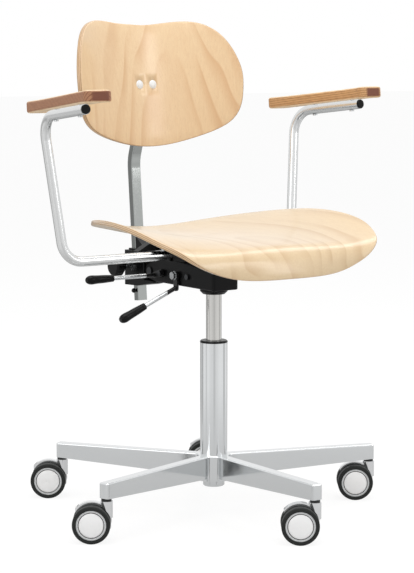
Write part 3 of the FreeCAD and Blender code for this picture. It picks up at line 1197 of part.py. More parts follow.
# Bolts that clamp the tube: head on the top plate, collar on the tube, end inside the tube.
clamp_bolts = []
for side in (-1, 1):
    spot = Vector(side * number("clamp_bolt_half"), number("tube_y"), 0)
    plate_top = spot + Vector(0, 0, number("carrier_top + fit_gap"))
    collar_foot = spot + Vector(0, 0, number("tube_height + tube_radius + fit_gap"))
    down, rise = Vector(0, 0, -1), Vector(0, 0, 1)
    shank_length = number("carrier_top - tube_height - tube_wall")
    shank = pin_along("clamp_bolt_radius", shank_length, plate_top, down)
    head = pin_along("clamp_head_radius", VALUES["clamp_head"], plate_top, rise)
    collar = pin_along("clamp_nut_radius", VALUES["clamp_nut"], collar_foot, rise)
    clamp_bolts.append(shank.fuse([head, collar]).removeSplitter())
    tube = tube.cut(pin_along("clamp_bolt_radius + fit_gap", number("tube_radius + overrun"),
                              spot + Vector(0, 0, number("tube_height")), rise))
solid_part("arm_frame", tube)
solid_part("arm_clamp_bolts", Part.Compound(clamp_bolts))
solid_part("arm_tube_plugs", Part.Compound(plugs))
solid_part("arm_pad_screws", Part.Compound(pad_screws))


# Seat: plywood moulded to a shallow dish with raised back corners and a front that rolls down.
def seat_slope(s):
    """The slope of the seat's middle line at a distance from the start of the lip."""
    base, first, second = SEAT_LONG_SHARES
    front = (1 - math.tanh((s - VALUES["seat_lip_bend_at"]) / VALUES["seat_lip_bend_run"])) / 2
    ahead = (s - VALUES["seat_reach"]) / VALUES["seat_reach"]
    return base + (SEAT_LIP_SLOPE_SHARE - base) * front + (first + second * ahead) * ahead * (1 - front)


def seat_line(s):
    """A point of the seat's middle line, from its slope by steps, and the slope there."""
    steps = 240
    step = s / steps
    slopes = [seat_slope((i + 1 / 2) * step) for i in range(steps)]
    y = sum(math.cos(slope) for slope in slopes) * step - VALUES["seat_lip_y"]
    z = sum(math.sin(slope) for slope in slopes) * step + VALUES["seat_lip_height"]
    return Vector(0, y, z), seat_slope(s)


def seat_spot_at(u, s):
    """A point of the seat's face: u across and s backward along it."""
    spot, slope = seat_line(s)
    ahead = (s - VALUES["seat_reach"]) / VALUES["seat_reach"]
    span = VALUES["seat_span"]
    bend = sum(share * ahead ** power for power, share in enumerate(SEAT_CROSS_SHARES))
    steep = sum(share * ahead ** power for power, share in enumerate(SEAT_CROSS_STEEP_SHARES))
    depth = span * (bend * (u / span) ** 2 / 2 + steep * (u / span) ** 4 / 4)
    x = u * (1 - (bend * u / span) ** 2 / 6)
    return spot + Vector(x, -math.sin(slope) * depth, math.cos(slope) * depth)


def seat_rim(count):
    """The seat's outline in its surface: a rounded square that narrows toward one end."""
    rim = []
    for i in range(count):
        angle = 2 * math.pi * i / count
        square = SEAT_SQUARE_BACK_SHARE if math.cos(angle) > 0 else SEAT_SQUARE_FRONT_SHARE
        back = math.copysign(abs(math.cos(angle)) ** (2 / square), math.cos(angle))
        side = math.copysign(abs(math.sin(angle)) ** (2 / square), math.sin(angle))
        wide = VALUES["seat_half_width"] * (1 + SEAT_TAPER_SHARE * back + SEAT_BULGE_SHARE * (back * back - 1 / 2))
        rim.append((wide * side, number("seat_middle") + number("seat_half_length") * back))
    return rim


seat_pull = Vector(0, -math.sin(math.radians(38)), math.cos(math.radians(38)))
seat_edge = number("seat_ply * 3")
seat_shell, seat_face = moulded(
    seat_spot_at, spread(-number("seat_half_width") - seat_edge, number("seat_half_width") + seat_edge, 9),
    spread(-seat_edge, number("seat_middle + seat_half_length") + seat_edge, 17), seat_rim(36), seat_pull,
    VALUES["seat_ply"], VALUES["seat_rounding"])
below_seat = seat_face.makeOffsetShape(-number("seat_ply + rest_gap"), TINY, fill=True)
spacers, seat_screws = [], []
for side in (-1, 1):
    for place_y in ("carrier_front + seat_screw_inset", "carrier_rear - seat_screw_inset"):
        spot = Vector(side * number("seat_screw_half"), number(place_y), number("carrier_top"))
        probe = Part.makeLine(spot, spot + Vector(0, 0, number("overrun"))).common(seat_shell)
        gap = min(vertex.Z for vertex in probe.Vertexes) - spot.z
        up = Vector(0, 0, 1)
        spacer = pin_along("spacer_radius", gap + number("seat_ply / 2"), spot, up)
        spacer = spacer.cut(below_seat)
        spacer = min(spacer.Solids, key=lambda solid: solid.CenterOfMass.z)
        spacers.append(spacer.cut(pin_along("seat_screw_radius + fit_gap", number("overrun * 2"),
                                            spot - up * number("overrun"), up)))
        under = spot - up * number("carrier_wall + fit_gap")
        length = number("carrier_wall + fit_gap + seat_screw_depth") + gap
        shank = pin_along("seat_screw_radius", length, under, up)
        head = pin_along("seat_screw_head_radius", number("seat_screw_head"), under, up * -1)
        seat_screws.append(head.fuse(shank).removeSplitter())
        seat_shell = seat_shell.cut(pin_along("seat_screw_radius + fit_gap", length + VALUES["fit_gap"],
                                              under, up))
solid_part("seat_shell", seat_shell)
solid_part("seat_spacers", Part.Compound(spacers))
solid_part("seat_screws", Part.Compound(seat_screws))


# Castors: one set of pieces, made at the floor's origin with the wheels' axle along Y, and placed
# at each arm.
def lathed(name, corners):
    """A piece turned about Z from corners of radius and height. A corner with four values is
    reached by an arc through the point that the last two give."""
    spots = [point(corner[0], "0", corner[1]) for corner in corners]
    edges = []
    for i, corner in enumerate(corners):
        if len(corner) == 4:
            edges.append(Part.Arc(spots[i - 1], point(corner[2], "0", corner[3]), spots[i]).toShape())
        else:
            edges.append(Part.makeLine(spots[i - 1], spots[i]))
    shape = Part.Face(Part.Wire(edges)).revolve(Vector(), Vector(0, 0, 1), 360)
    return solid_part(name, shape, node=False)


ring_face = "(wheel_face - cap_groove)"
wheel = lathed("wheel", [
    ("0", "axle_pin_half + fit_gap"), ("axle_pin_radius + run_gap", "axle_pin_half + fit_gap"),
    ("axle_pin_radius + run_gap", "hub_inner"), ("wheel_hub_radius", "hub_inner"),
    ("wheel_hub_radius", "wheel_inner + fit_gap"), ("tyre_seat_radius", "wheel_inner + fit_gap"),
    ("tyre_seat_radius", ring_face), ("cap_radius + cap_groove", ring_face),
    ("cap_radius + cap_groove", ring_face + " - cap_groove"), ("cap_radius", ring_face + " - cap_groove"),
    ("cap_radius", ring_face), ("0", ring_face)])
cap_ball = number("(cap_radius * cap_radius + cap_dome * cap_dome) / (cap_dome * 2)")
ball = Part.makeSphere(cap_ball, point("0", "0", ring_face + " + cap_dome") - Vector(0, 0, cap_ball))
cap_block = pin_along("cap_radius", number("cap_dome * 2"), point("0", "0", ring_face), Vector(0, 0, 1))
wheel.Shape = wheel.Shape.fuse(ball.common(cap_block)).removeSplitter()
tyre_in, tyre_out = "wheel_radius - tyre_shoulder", "tyre_seat_radius + fit_gap"
round_in = f"tyre_shoulder * {CORNER_SHARE}"
tyre = lathed("tyre", [
    (tyre_out, "wheel_inner"), (tyre_in, "wheel_inner"),
    ("wheel_radius", "wheel_inner + tyre_shoulder",
     f"wheel_radius - {round_in}", f"wheel_inner + {round_in}"),
    ("wheel_radius", "wheel_face - tyre_shoulder"),
    (tyre_in, "wheel_face", f"wheel_radius - {round_in}", f"wheel_face - {round_in}"),
    (tyre_out, "wheel_face")])
axle_pin = lathed("axle_pin", [("0", "0 - axle_pin_half"), ("axle_pin_radius", "0 - axle_pin_half"),
                               ("axle_pin_radius", "axle_pin_half"), ("0", "axle_pin_half")])
slope = "((arm_tip_underside - arm_root_underside) / (stem_circle_radius + arm_end_margin - hub_flat_radius))"
flange_reach = "(stem_circle_radius - stem_flange_radius - hub_flat_radius)"
flange_top = f"(arm_root_underside + {slope} * {flange_reach} - stem_flange_gap)"
stem_top = "arm_tip_underside + stem_in_arm"
stem = lathed("stem", [
    ("0", "stem_foot"), ("stem_radius", "stem_foot"), ("stem_radius", "hood_top + stem_flange_gap"),
    ("stem_flange_radius", "hood_top + stem_flange_gap"), ("stem_flange_radius", flange_top),
    ("stem_radius", flange_top), ("stem_radius", stem_top), ("0", stem_top)])

body = new_body("hood")
disc = new_sketch(body, "hood_disc", "XZ_Plane")
circle(disc, "castor_trail", "wheel_radius", "hood_radius")
pad(body, disc, "hood_width", both_ways=True)
end_angle = math.radians(VALUES["hood_end_angle"])
end_run, end_rise = f"hood_radius * {math.cos(end_angle):.5f}", f"hood_radius * {math.sin(end_angle):.5f}"
open_side = new_sketch(body, "hood_opening", "XZ_Plane")
outline(open_side, [
    ("castor_trail - hood_radius - overrun", "hood_top"), ("0", "hood_top"), ("0", "stem_housing_foot"),
    ("castor_trail - wheel_radius", "stem_housing_foot"),
    ("castor_trail - wheel_radius", "wheel_radius - hood_floor"),
    ("castor_trail + hood_end_in", "wheel_radius - hood_floor"),
    ("castor_trail + " + end_run, "wheel_radius + " + end_rise),
    ("castor_trail + hood_radius + overrun", "wheel_radius + " + end_rise),
    ("castor_trail + hood_radius + overrun", "wheel_radius - hood_radius - overrun"),
    ("castor_trail - hood_radius - overrun", "wheel_radius - hood_radius - overrun")])
pocket(body, open_side, "hood_width + overrun", both_ways=True)
housing = new_sketch(body, "stem_housing", "XY_Plane", "stem_housing_foot")
circle(housing, "0", "0", "stem_housing_radius")
pad(body, housing, "hood_top - stem_housing_foot")
for name, way in (("left_wheel_gap", "0 - "), ("right_wheel_gap", "")):
    room = new_sketch(body, name, "XZ_Plane", f"{way}hood_width / 2")
    circle(room, "castor_trail", "wheel_radius", "wheel_radius + hood_wheel_gap")
    pocket(body, room, "stem_housing_radius", backward=way == "")
stem_hole = new_sketch(body, "stem_hole", "XY_Plane", "stem_foot - fit_gap")
circle(stem_hole, "0", "0", "stem_radius + fit_gap")
pocket(body, stem_hole, "hood_top - stem_foot + overrun", backward=True)
pin_hole = new_sketch(body, "pin_hole", "XZ_Plane")
circle(pin_hole, "castor_trail", "wheel_radius", "axle_pin_radius + fit_gap")
pocket(body, pin_hole, "hood_width + overrun", both_ways=True)

axle_pin.Placement = Placement(point("castor_trail", "0", "wheel_radius"), Rotation(Vector(1, 0, 0), -90))
doc.recompute()
for i in range(int(VALUES["arm_count"])):
    arm_angle = 270 + VALUES["base_turn"] + 360 / VALUES["arm_count"] * i
    out = Vector(math.cos(math.radians(arm_angle)), math.sin(math.radians(arm_angle)), 0)
    heading = Rotation(Vector(0, 0, 1), VALUES["castor_heading"])
    stand = Placement(out * number("stem_circle_radius"), heading)
    hub_at = stand.multiply(Placement(point("castor_trail", "0", "wheel_radius"), Rotation()))
    castor = f"castor_{i + 1}"
    hood = doc.addObject("Part::Compound", castor + "_hood_set")
    hood.Links = [body, stem, axle_pin]
    keep(hood, castor + "_hood", stand)
    for letter, angle in (("a", -90), ("b", 90)):
        side_turn = Placement(Vector(), Rotation(Vector(1, 0, 0), angle))
        for piece, source in (("wheel", wheel), ("tyre", tyre)):
            made = doc.addObject("Part::Compound", f"{castor}_{piece}_{letter}_set")
            made.Links = [source]
            keep(made, f"{castor}_{piece}_{letter}", hub_at.multiply(side_turn))

# Every object is sound before any file is written.
doc.recompute()
for thing in doc.Objects:
    if "Invalid" in thing.State or "Error" in thing.State:
        raise RuntimeError(f"{thing.Label} is not up to date: {thing.State}")
for node, thing in NODES.items():
    if thing.Shape.isNull() or not thing.Shape.isValid() or not thing.Shape.Solids:
        raise RuntimeError(f"{node} has no sound shape")
os.makedirs("parts", exist_ok=True)
for node, thing in NODES.items():
    thing.Shape.exportStep(f"parts/{node}.step")
print(len(NODES), "sub-parts written")
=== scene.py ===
# %% [markdown]
# A swivel chair, dressed
#
# The chair comes from its CAD model as a fixed frame: every solid is in place and in metres.
# This lesson gives it the looks of the real one: moulded beech plywood, plated tube, polished
# aluminium, black coated steel and soft dark tyres. The shapes of the CAD model all stay.
# Where a finish has to follow the shape of a piece, such as the plies of a bent sheet or the rings
# of a wheel, the piece gets a merged copy with a measured attribute.

# %% Load the frame
import math

import bmesh
import bpy
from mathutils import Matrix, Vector
from mathutils.bvhtree import BVHTree


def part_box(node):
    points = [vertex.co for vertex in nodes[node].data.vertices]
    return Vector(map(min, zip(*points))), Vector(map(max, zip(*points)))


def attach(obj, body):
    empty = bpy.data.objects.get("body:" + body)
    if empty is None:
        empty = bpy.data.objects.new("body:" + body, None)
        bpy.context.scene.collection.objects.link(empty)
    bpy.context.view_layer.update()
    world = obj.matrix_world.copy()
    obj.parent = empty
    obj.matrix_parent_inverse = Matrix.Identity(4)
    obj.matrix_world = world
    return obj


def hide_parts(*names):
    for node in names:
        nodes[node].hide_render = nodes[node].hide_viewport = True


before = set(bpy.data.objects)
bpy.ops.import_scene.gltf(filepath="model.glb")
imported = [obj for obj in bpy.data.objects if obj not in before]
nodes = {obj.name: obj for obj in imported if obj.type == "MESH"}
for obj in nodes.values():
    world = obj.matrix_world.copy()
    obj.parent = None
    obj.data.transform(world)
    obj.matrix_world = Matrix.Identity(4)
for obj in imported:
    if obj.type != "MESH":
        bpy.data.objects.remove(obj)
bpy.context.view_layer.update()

MM = 0.001

# %% [markdown]
# Three small helpers start every material.
#
# - Colours are written as sRGB hex values, as a paint chart or a photo editor gives them. The
#   shader wants linear light, so one function turns them.
# - A node graph is written as a list of nodes, each with its settings and what feeds it.
# - Each material starts with one Principled shader.

# %% Helpers for colours, nodes and materials


def colour(code):
    """Linear red, green, blue and alpha of an sRGB hex colour."""
    parts = [int(code[i:i + 2], 16) / 255 for i in (1, 3, 5)]
    return [c / 12.92 if c <= 0.04045 else ((c + 0.055) / 1.055) ** 2.4 for c in parts] + [1.0]


def node(tree, kind, feeds=None, **settings):
    """Adds a node. A feed is a socket to link from, or a value for the input."""
    made = tree.nodes.new(kind)
    for name, value in settings.items():
        setattr(made, name, value)
    for socket, feed in (feeds or {}).items():
        if isinstance(feed, bpy.types.NodeSocket):
            tree.links.new(feed, made.inputs[socket])
        else:
            made.inputs[socket].default_value = feed
    return made


def material(name, **values):
    """A new material with one Principled shader, and the shader's plain values."""
    made = bpy.data.materials.new(name)
    made.use_nodes = True
    made.node_tree.nodes.clear()
    shader = node(made.node_tree, "ShaderNodeBsdfPrincipled",
                  {socket.replace("_", " "): value for socket, value in values.items()})
    node(made.node_tree, "ShaderNodeOutputMaterial", {"Surface": shader.outputs[0]})
    return made, made.node_tree, shader


print("three helpers ready")

# %% [markdown]
# Some steps come back in most node graphs: a sum, a blend, a range stretched to another, cloudy
# noise of a given size, and small bumps. Each gets a short name, so that a graph reads as a list
# of what it does. Sizes go in as millimetres and are turned into the shader's metres here.

# %% Helpers for the steps of a node graph


def maths(tree, operation, *values):
    """The result of one operation on numbers or sockets."""
    return node(tree, "ShaderNodeMath", dict(enumerate(values)), operation=operation).outputs[0]


def blended(tree, share, first, second):
    """The first colour where share is 0, the second where it is 1."""
    return node(tree, "ShaderNodeMix", {0: share, 6: first, 7: second}, data_type="RGBA").outputs[2]


def between(tree, share, first, second):
    """The first number where share is 0, the second where it is 1."""
    return node(tree, "ShaderNodeMix", {0: share, 2: first, 3: second}).outputs[0]


def rises(tree, feed, start, end, low=0.0, high=1.0):
    """Low at start, high at end, a straight line between them, and level beyond."""
    return node(tree, "ShaderNodeMapRange", {"Value": feed, "From Min": start, "From Max": end,
                                             "To Min": low, "To Max": high}).outputs[0]


def own_place(tree):
    """A point's place in the piece's own coordinates, in metres."""
    return node(tree, "ShaderNodeTexCoord").outputs["Object"]


def parted(tree, vector):
    """The X, Y and Z of a vector, as outputs by name."""
    return node(tree, "ShaderNodeSeparateXYZ", {"Vector": vector}).outputs


def drawn_out(tree, place, *scale):
    """Coordinates that make what is drawn on them longer along an axis with a scale below 1."""
    return node(tree, "ShaderNodeMapping", {"Vector": place, "Scale": scale}).outputs[0]


def noise(tree, place, size_mm, detail=2.0):
    """Soft cloudy noise with clouds about size_mm across."""
    return node(tree, "ShaderNodeTexNoise", {"Vector": place, "Scale": 1 / (size_mm * MM),
                                             "Detail": detail}).outputs["Fac"]


def bumps(tree, shader, height, strength, deep_mm):
    """Small bumps on a shader's surface."""
    lift = node(tree, "ShaderNodeBump", {"Height": height, "Strength": strength,
                                         "Distance": deep_mm * MM})
    tree.links.new(lift.outputs[0], shader.inputs["Normal"])


print("nine graph helpers ready")

# %% [markdown]
# Metals. A metal's colour is its reflection's colour, so it stays pale, and what tells one metal
# from another is how rough it is and what marks its making left.
#
# - The arm tube has a pearl plating and the gas spring a satin one, which spread what they mirror.
# - The base and column are cast and drawn aluminium, ground and polished. Their haze changes over
#   some centimetres, where the wheel pressed more.
# - The bar of the back is plated as a plain mirror, with a darker tint as a painted dark reflection.
# - Bolts are zinc plated and a little dull, or blackened.

# %% Metals
MOST_NOISE = (0.3, 0.7)  # nearly all of the noise lies between these
POLISH_MM = 0.02         # how deep grinding and polishing leave their waves


def metal(name, tint, rough, haze, haze_mm, bump):
    """Metal whose roughness grows by up to haze, in clouds of haze_mm."""
    made, tree, shader = material(name, Base_Color=colour(tint), Metallic=1.0)
    cloud = noise(tree, own_place(tree), haze_mm, 3.0)
    tree.links.new(rises(tree, cloud, *MOST_NOISE, rough, rough + haze), shader.inputs["Roughness"])
    bumps(tree, shader, cloud, bump, POLISH_MM)
    return made


tube_chrome = metal("pearl_chrome_plate", "#DDDEDE", 0.22, 0.02, 20, 0.0)
satin_chrome = metal("satin_chrome_plate", "#D2D1CE", 0.14, 0.03, 14, 0.01)
aluminium = metal("polished_aluminium", "#E0E2E3", 0.09, 0.05, 16, 0.04)
# The bar's tint is darker than plated chrome: a painted dark reflection.
bar_chrome_painted_dark = metal("mirror_chrome_painted_dark", "#A9ACAA", 0.08, 0.03, 12, 0.02)
steel = metal("zinc_plated_steel", "#B9BBBC", 0.24, 0.10, 3, 0.08)
black_steel = metal("blackened_steel", "#4A4B4D", 0.30, 0.10, 3, 0.08)
METALS = (tube_chrome, satin_chrome, aluminium, bar_chrome_painted_dark, steel, black_steel)
print("metals:", *[made.name for made in METALS])

# %% [markdown]
# Black parts. The mechanism is pressed steel with a black powder coat, which dries to a fine
# orange peel. Grips, knob, plugs and caps are moulded plastic, with a finer grain.
# The tyres are a soft dark polyurethane, for hard floors, with a dull moulded skin. All of them
# stand in a white room, and a low specular level keeps them from turning grey in it.

# %% Coats and plastics
DULL_GLOSS = 0.16        # specular level; 0.5 is a plain glossy plastic's
SKIN_MM = 0.1            # how deep a coat's or a mould's grain is


def coated(name, tint, rough, grain_mm, bump, coat=0.0):
    """A painted or moulded surface with a fine grain of grain_mm."""
    made, tree, shader = material(name, Base_Color=colour(tint), Roughness=rough, Coat_Weight=coat,
                                  Coat_Roughness=0.15, Specular_IOR_Level=DULL_GLOSS)
    bumps(tree, shader, noise(tree, own_place(tree), grain_mm), bump, SKIN_MM)
    return made


powder_coat = coated("black_powder_coat", "#050506", 0.30, 1.2, 0.20)
black_plastic = coated("black_moulded_plastic", "#0B0B0C", 0.30, 0.8, 0.08)
cap_plastic = coated("pale_moulded_cap", "#F2F3F3", 0.30, 0.8, 0.04, 0.3)
tyre_rubber = coated("dark_polyurethane_tyre", "#2B2D2C", 0.50, 1.0, 0.15)
print("coats and plastics:", powder_coat.name, black_plastic.name, cap_plastic.name, tyre_rubber.name)

# %% [markdown]
# Each CAD node names its finish. Those names choose the material here, and a few nodes differ from
# their group: the gas spring, the arm tube and the bar of the back each have a plating of their
# own, the bolts through the black housing are blackened, so that only their rims catch the light,
# and the two bolts that hold the back have pale domed caps. Their shanks are hidden in the sheet.

# %% Finishes on the CAD nodes
FINISHES = {"aluminium": aluminium, "steel": steel, "black_metal": powder_coat,
            "black_plastic": black_plastic, "tyre": tyre_rubber}
OWN_FINISHES = {"gas_cylinder": satin_chrome, "arm_frame": tube_chrome, "back_post": bar_chrome_painted_dark,
                "front_bolt": black_steel, "tilt_lever_bolt": black_steel,
                "back_pivot_axle": black_steel, "backrest_screws": cap_plastic}
finished = 0
for name, item in nodes.items():
    slot = item.data.materials[0].name.split(".")[0]
    finish = OWN_FINISHES.get(name, FINISHES.get(slot))
    if finish:
        item.data.materials[0] = finish
        finished += 1
print("finished nodes:", finished, "of", len(nodes))

# %% [markdown]
# Two-tone parts. A castor's hood is chromed, and the collar of its stem above it is black. A lever
# is a bright rod whose crank, near the housing, is blackened. The cap under the hub is pale, with a
# black neck above it. Each is one piece, so a limit on the piece's own coordinate tells where one
# finish ends.

# %% Two-tone parts
HOOD_COLLAR_MM = 70.9    # height where a hood's black collar starts
LEVER_CRANK_MM = -52     # sideways place where a lever's black crank starts
CAP_NECK_MM = 54.3       # height where the hub cap's black neck starts
SEAM_MM = 0.2            # half the width in which one finish turns into the other
DARK_COAT = ("#0C0C0D", 0.35)  # colour and roughness
HAZE, HAZE_MM = 0.05, 10  # how much rougher the noise makes them, and its size


def two_tone(name, axis, limit_mm, bright, bright_rough):
    """Bright plated metal up to the limit along an axis, and a dark coat beyond it."""
    dark, dark_rough = DARK_COAT
    made, tree, shader = material(name)
    place = own_place(tree)
    beyond = rises(tree, parted(tree, place)[axis], (limit_mm - SEAM_MM) * MM, (limit_mm + SEAM_MM) * MM)
    tree.links.new(blended(tree, beyond, colour(bright), colour(dark)), shader.inputs["Base Color"])
    tree.links.new(maths(tree, "SUBTRACT", 1.0, beyond), shader.inputs["Metallic"])
    plain_rough = rises(tree, beyond, 0.0, 1.0, bright_rough, dark_rough)
    haze = maths(tree, "MULTIPLY_ADD", noise(tree, place, HAZE_MM), HAZE, plain_rough)
    tree.links.new(haze, shader.inputs["Roughness"])
    return made


hood_finish = two_tone("chromed_hood_black_collar", "Z", HOOD_COLLAR_MM, "#E9EAEB", 0.05)
lever_finish = two_tone("zinc_rod_black_crank", "X", LEVER_CRANK_MM, "#D4D6D7", 0.28)
cap_finish = two_tone("pale_cap_black_neck", "Z", CAP_NECK_MM, "#DDDFE0", 0.16)
for name, item in nodes.items():
    if name.endswith("_hood"):
        item.data.materials[0] = hood_finish
for name in ("tilt_lever", "lift_lever"):
    nodes[name].data.materials[0] = lever_finish
nodes["hub_cap"].data.materials[0] = cap_finish
print("two-tone finishes:", hood_finish.name, lever_finish.name, cap_finish.name)

# %% [markdown]
# A merged copy of a piece. A CAD mesh has loose triangles and must stay as it is, so a copy is
# joined up and carries what its material measures. The copy rides on the same body, has the same
# slot and stands in for the CAD node.

# %% Merged copies
WELD_MM = 0.002          # corners that are this near are one corner


def merged_copy(name, new_name):
    """A copy of a CAD node with its loose triangles joined, as an open bmesh."""
    made = bpy.data.objects.new(new_name, nodes[name].data.copy())
    bpy.context.scene.collection.objects.link(made)
    mesh = bmesh.new()
    mesh.from_mesh(made.data)
    bmesh.ops.remove_doubles(mesh, verts=mesh.verts, dist=WELD_MM * MM)
    mesh.normal_update()
    return made, mesh


def stands_for(made, mesh, name, body, attribute, values):
    """Writes the mesh and its attribute, and lets the copy replace its CAD node."""
    mesh.to_mesh(made.data)
    mesh.free()
    made.data.attributes.new(attribute, "FLOAT", "POINT").data.foreach_set("value", values)
    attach(made, body)
    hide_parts(name)


print("ready to copy pieces")

# %% [markdown]
# Castor wheels. Seen from the side, a wheel is a dark tread, a bright ring, a dark groove and a
# domed bright cap. These are rings round the axle, and every wheel stands in its own place, so each
# copy of a wheel body gets its distance from the axle as an attribute.

# %% Wheel bodies with rings
CASTOR_HEADING = 145     # degrees from +X to where all the castors trail
GROOVE_MM = (21.0, 21.25, 22.3, 22.5)  # from the axle: the groove fades in, then out
WHEEL_SHINE = 0.10       # how metallic the lacquered plastic looks
WHEEL_ROUGH, WHEEL_HAZE, WHEEL_HAZE_MM = 0.16, 0.08, 8


def wheel_finish():
    """Bright ring, dark groove and bright cap, by the distance from the axle in mm."""
    made, tree, shader = material("chromed_wheel_face_dark_groove")
    radius = node(tree, "ShaderNodeAttribute", attribute_name="from_axle").outputs["Fac"]
    inside = rises(tree, radius, *GROOVE_MM[:2])
    outside = rises(tree, radius, *GROOVE_MM[2:])
    groove = maths(tree, "SUBTRACT", inside, outside)
    bright = blended(tree, outside, colour("#FFFFFF"), colour("#D9DBDC"))
    tree.links.new(blended(tree, groove, bright, colour("#1A1B1B")), shader.inputs["Base Color"])
    tree.links.new(rises(tree, groove, 0.0, 1.0, WHEEL_SHINE, 0.0), shader.inputs["Metallic"])
    cloud = noise(tree, own_place(tree), WHEEL_HAZE_MM)
    haze = maths(tree, "MULTIPLY_ADD", cloud, WHEEL_HAZE, WHEEL_ROUGH)
    tree.links.new(haze, shader.inputs["Roughness"])
    return made


wheel_rings = wheel_finish()
wheels = [name for name in nodes if name.startswith("castor_") and "_wheel_" in name]
heading = math.radians(CASTOR_HEADING)
axle = Vector((-math.sin(heading), math.cos(heading), 0))
for name in wheels:
    low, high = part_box(name)
    middle = (Vector(low) + Vector(high)) / 2
    made, mesh = merged_copy(name, name + "_rings")
    distances = []
    for vert in mesh.verts:
        away = vert.co - middle
        distances.append((away - axle * away.dot(axle)).length / MM)
    roller = name.replace("_wheel_", "_roller_")
    stands_for(made, mesh, name, roller, "from_axle", distances)
    made.data.materials[0] = wheel_rings
print("ringed wheels:", len(wheels), "largest radius", round(max(distances), 2), "mm")

# %% [markdown]
# Beech plywood. The seat and the back are moulded from beech veneers glued with their grain
# crossed, then trimmed and lacquered. Two things tell it: the face veneer's grain, fine flecks
# and long flames along the sheet, and the stripes of the plies around the trimmed edge.
#
# The stripes follow the depth in the sheet, which no coordinate gives on a curved shell. So each
# copy of a shell gets an attribute: the distance of each point from the upper face. The upper face
# is found by walking from one of its triangles to the next. Faces are told from trimmed edges by
# what lies under them: a face has the sheet's own thickness.

# %% Wooden shells with a depth in the sheet
UNDER_MM = 0.05          # the ray starts this far inside, so that it misses its own face
SAME_SHEET = 0.04        # a face's thickness may differ from the sheet's by this share
SHARPEST_TURN = 25       # degrees from one triangle of a face to the next


def upper_face(mesh, whole, near):
    """The triangles of the sheet's upper face, and the sheet's thickness in metres."""
    def under(face):
        start = face.calc_center_median() - face.normal * UNDER_MM * MM
        hit = whole.ray_cast(start, -face.normal)
        return hit[3] if hit[0] else 0.0

    first = min(mesh.faces, key=lambda face: (face.calc_center_median() - Vector(near)).length)
    sheet = under(first)
    upper, front = {first}, [first]
    while front:
        face = front.pop()
        for other in [other for edge in face.edges for other in edge.link_faces]:
            if other not in upper and abs(under(other) / sheet - 1) < SAME_SHEET \
                    and face.normal.angle(other.normal, 0) < math.radians(SHARPEST_TURN):
                upper.add(other)
                front.append(other)
    return upper, sheet


def sheet_copy(name, body, near):
    """A merged copy of a shell, with the depth below its upper face, in mm, as an attribute."""
    made, mesh = merged_copy(name, name + "_wood")
    upper, sheet = upper_face(mesh, BVHTree.FromBMesh(mesh), near)
    mesh.verts.index_update()
    tree = BVHTree.FromPolygons([vert.co.copy() for vert in mesh.verts],
                                [[vert.index for vert in face.verts] for face in upper])
    depths = [tree.find_nearest(vert.co)[3] / MM for vert in mesh.verts]
    print(name, "sheet", round(sheet / MM, 2), "mm, upper faces", len(upper), "of", len(mesh.faces),
          "deepest", round(max(depths), 2), "mm")
    stands_for(made, mesh, name, body, "depth", depths)
    return made, sheet / MM


back_low, back_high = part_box("backrest_shell")
seat_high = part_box("seat_shell")[1]
back_middle = (0, back_low.y, (back_low.z + back_high.z) / 2)
back_shell, back_sheet = sheet_copy("backrest_shell", "back", back_middle)
seat_shell, seat_sheet = sheet_copy("seat_shell", "seat_group", (0, 0, seat_high.z))

# %% [markdown]
# The face veneer is sliced flat from a log, so its growth rings show as tall arches, pale and
# close. Rings round a line that leans away from the sheet give just that: where the line is near,
# the arches close. Slow noise bends the rings, and lets them fade out in places.

# %% Growth rings
GRAIN_RUN = 0.25         # bends and clouds are four times as long along the grain as across it
BEND_MM = 110            # from one bend of the rings to the next
BEND_BY_MM = 120         # how far a bend moves the rings
LOG_LEAN = 0.30          # how fast the middle of the log leaves the sheet
LOG_AWAY_MM = 30         # how far from the sheet it passes
RING_MM = 32             # from one ring to the next
LATE_WOOD = (0.35, 0.88, 0.96)  # shares of a ring: it darkens slowly, and ends at once
PATCH_MM = 60            # the size of the places where rings show
PATCHES = (0.38, 0.62)   # the noise at which they start to show, and show in full


def growth_rings(tree, along):
    """How much of a ring's dark late wood shows, from 0 to 1."""
    slow = drawn_out(tree, along, 1.0, 1.0, GRAIN_RUN)
    bend = noise(tree, slow, BEND_MM, 1.0)
    sides = parted(tree, along)
    lean = maths(tree, "MULTIPLY_ADD", sides["Z"], LOG_LEAN, LOG_AWAY_MM * MM)
    log = node(tree, "ShaderNodeCombineXYZ", {"X": sides["X"], "Y": lean}).outputs[0]
    radius = node(tree, "ShaderNodeVectorMath", {0: log}, operation="LENGTH").outputs["Value"]
    wavy = maths(tree, "MULTIPLY_ADD", bend, BEND_BY_MM * MM, radius)
    ring = maths(tree, "FRACT", maths(tree, "MULTIPLY", wavy, 1 / (RING_MM * MM)))
    start, darkest, end = LATE_WOOD
    late = maths(tree, "MULTIPLY", rises(tree, ring, start, darkest), rises(tree, ring, end, darkest))
    return maths(tree, "MULTIPLY", late, rises(tree, noise(tree, slow, PATCH_MM, 1.0), *PATCHES))


print("rings every", RING_MM, "mm")

# %% [markdown]
# Fibres and flecks lie along the grain, and the plies lie across the edge. Beech always has short
# dark flecks. Real ones are 0.2 mm wide; they are drawn 0.8 mm wide here, so that they show.
# The depth in the sheet tells the trimmed edge from the two faces: it is an edge wherever the
# depth is neither nearly nothing nor nearly the whole sheet.

# %% Lacquered beech plywood
FIBRE_RUN = 0.06         # fibres are many times as long as they are wide
FIBRE_MM, FIBRE_SHOWS = 3, (0.35, 0.75, 0.0, 0.35)  # noise from and to, and shares from and to
FLECK_MM, FLECK_SHOWS = 0.8, (0.56, 0.72, 0.0, 0.16)
FIBRE_BUMP = 0.06
PLY_MM = 1.3
GLUE_LINE = (-0.5, 0.5)  # the part of the plies' wave in which a dark one turns pale
EDGE_FADE_MM = (0.40, 0.15)  # deeper than the first is edge, shallower than the second is face


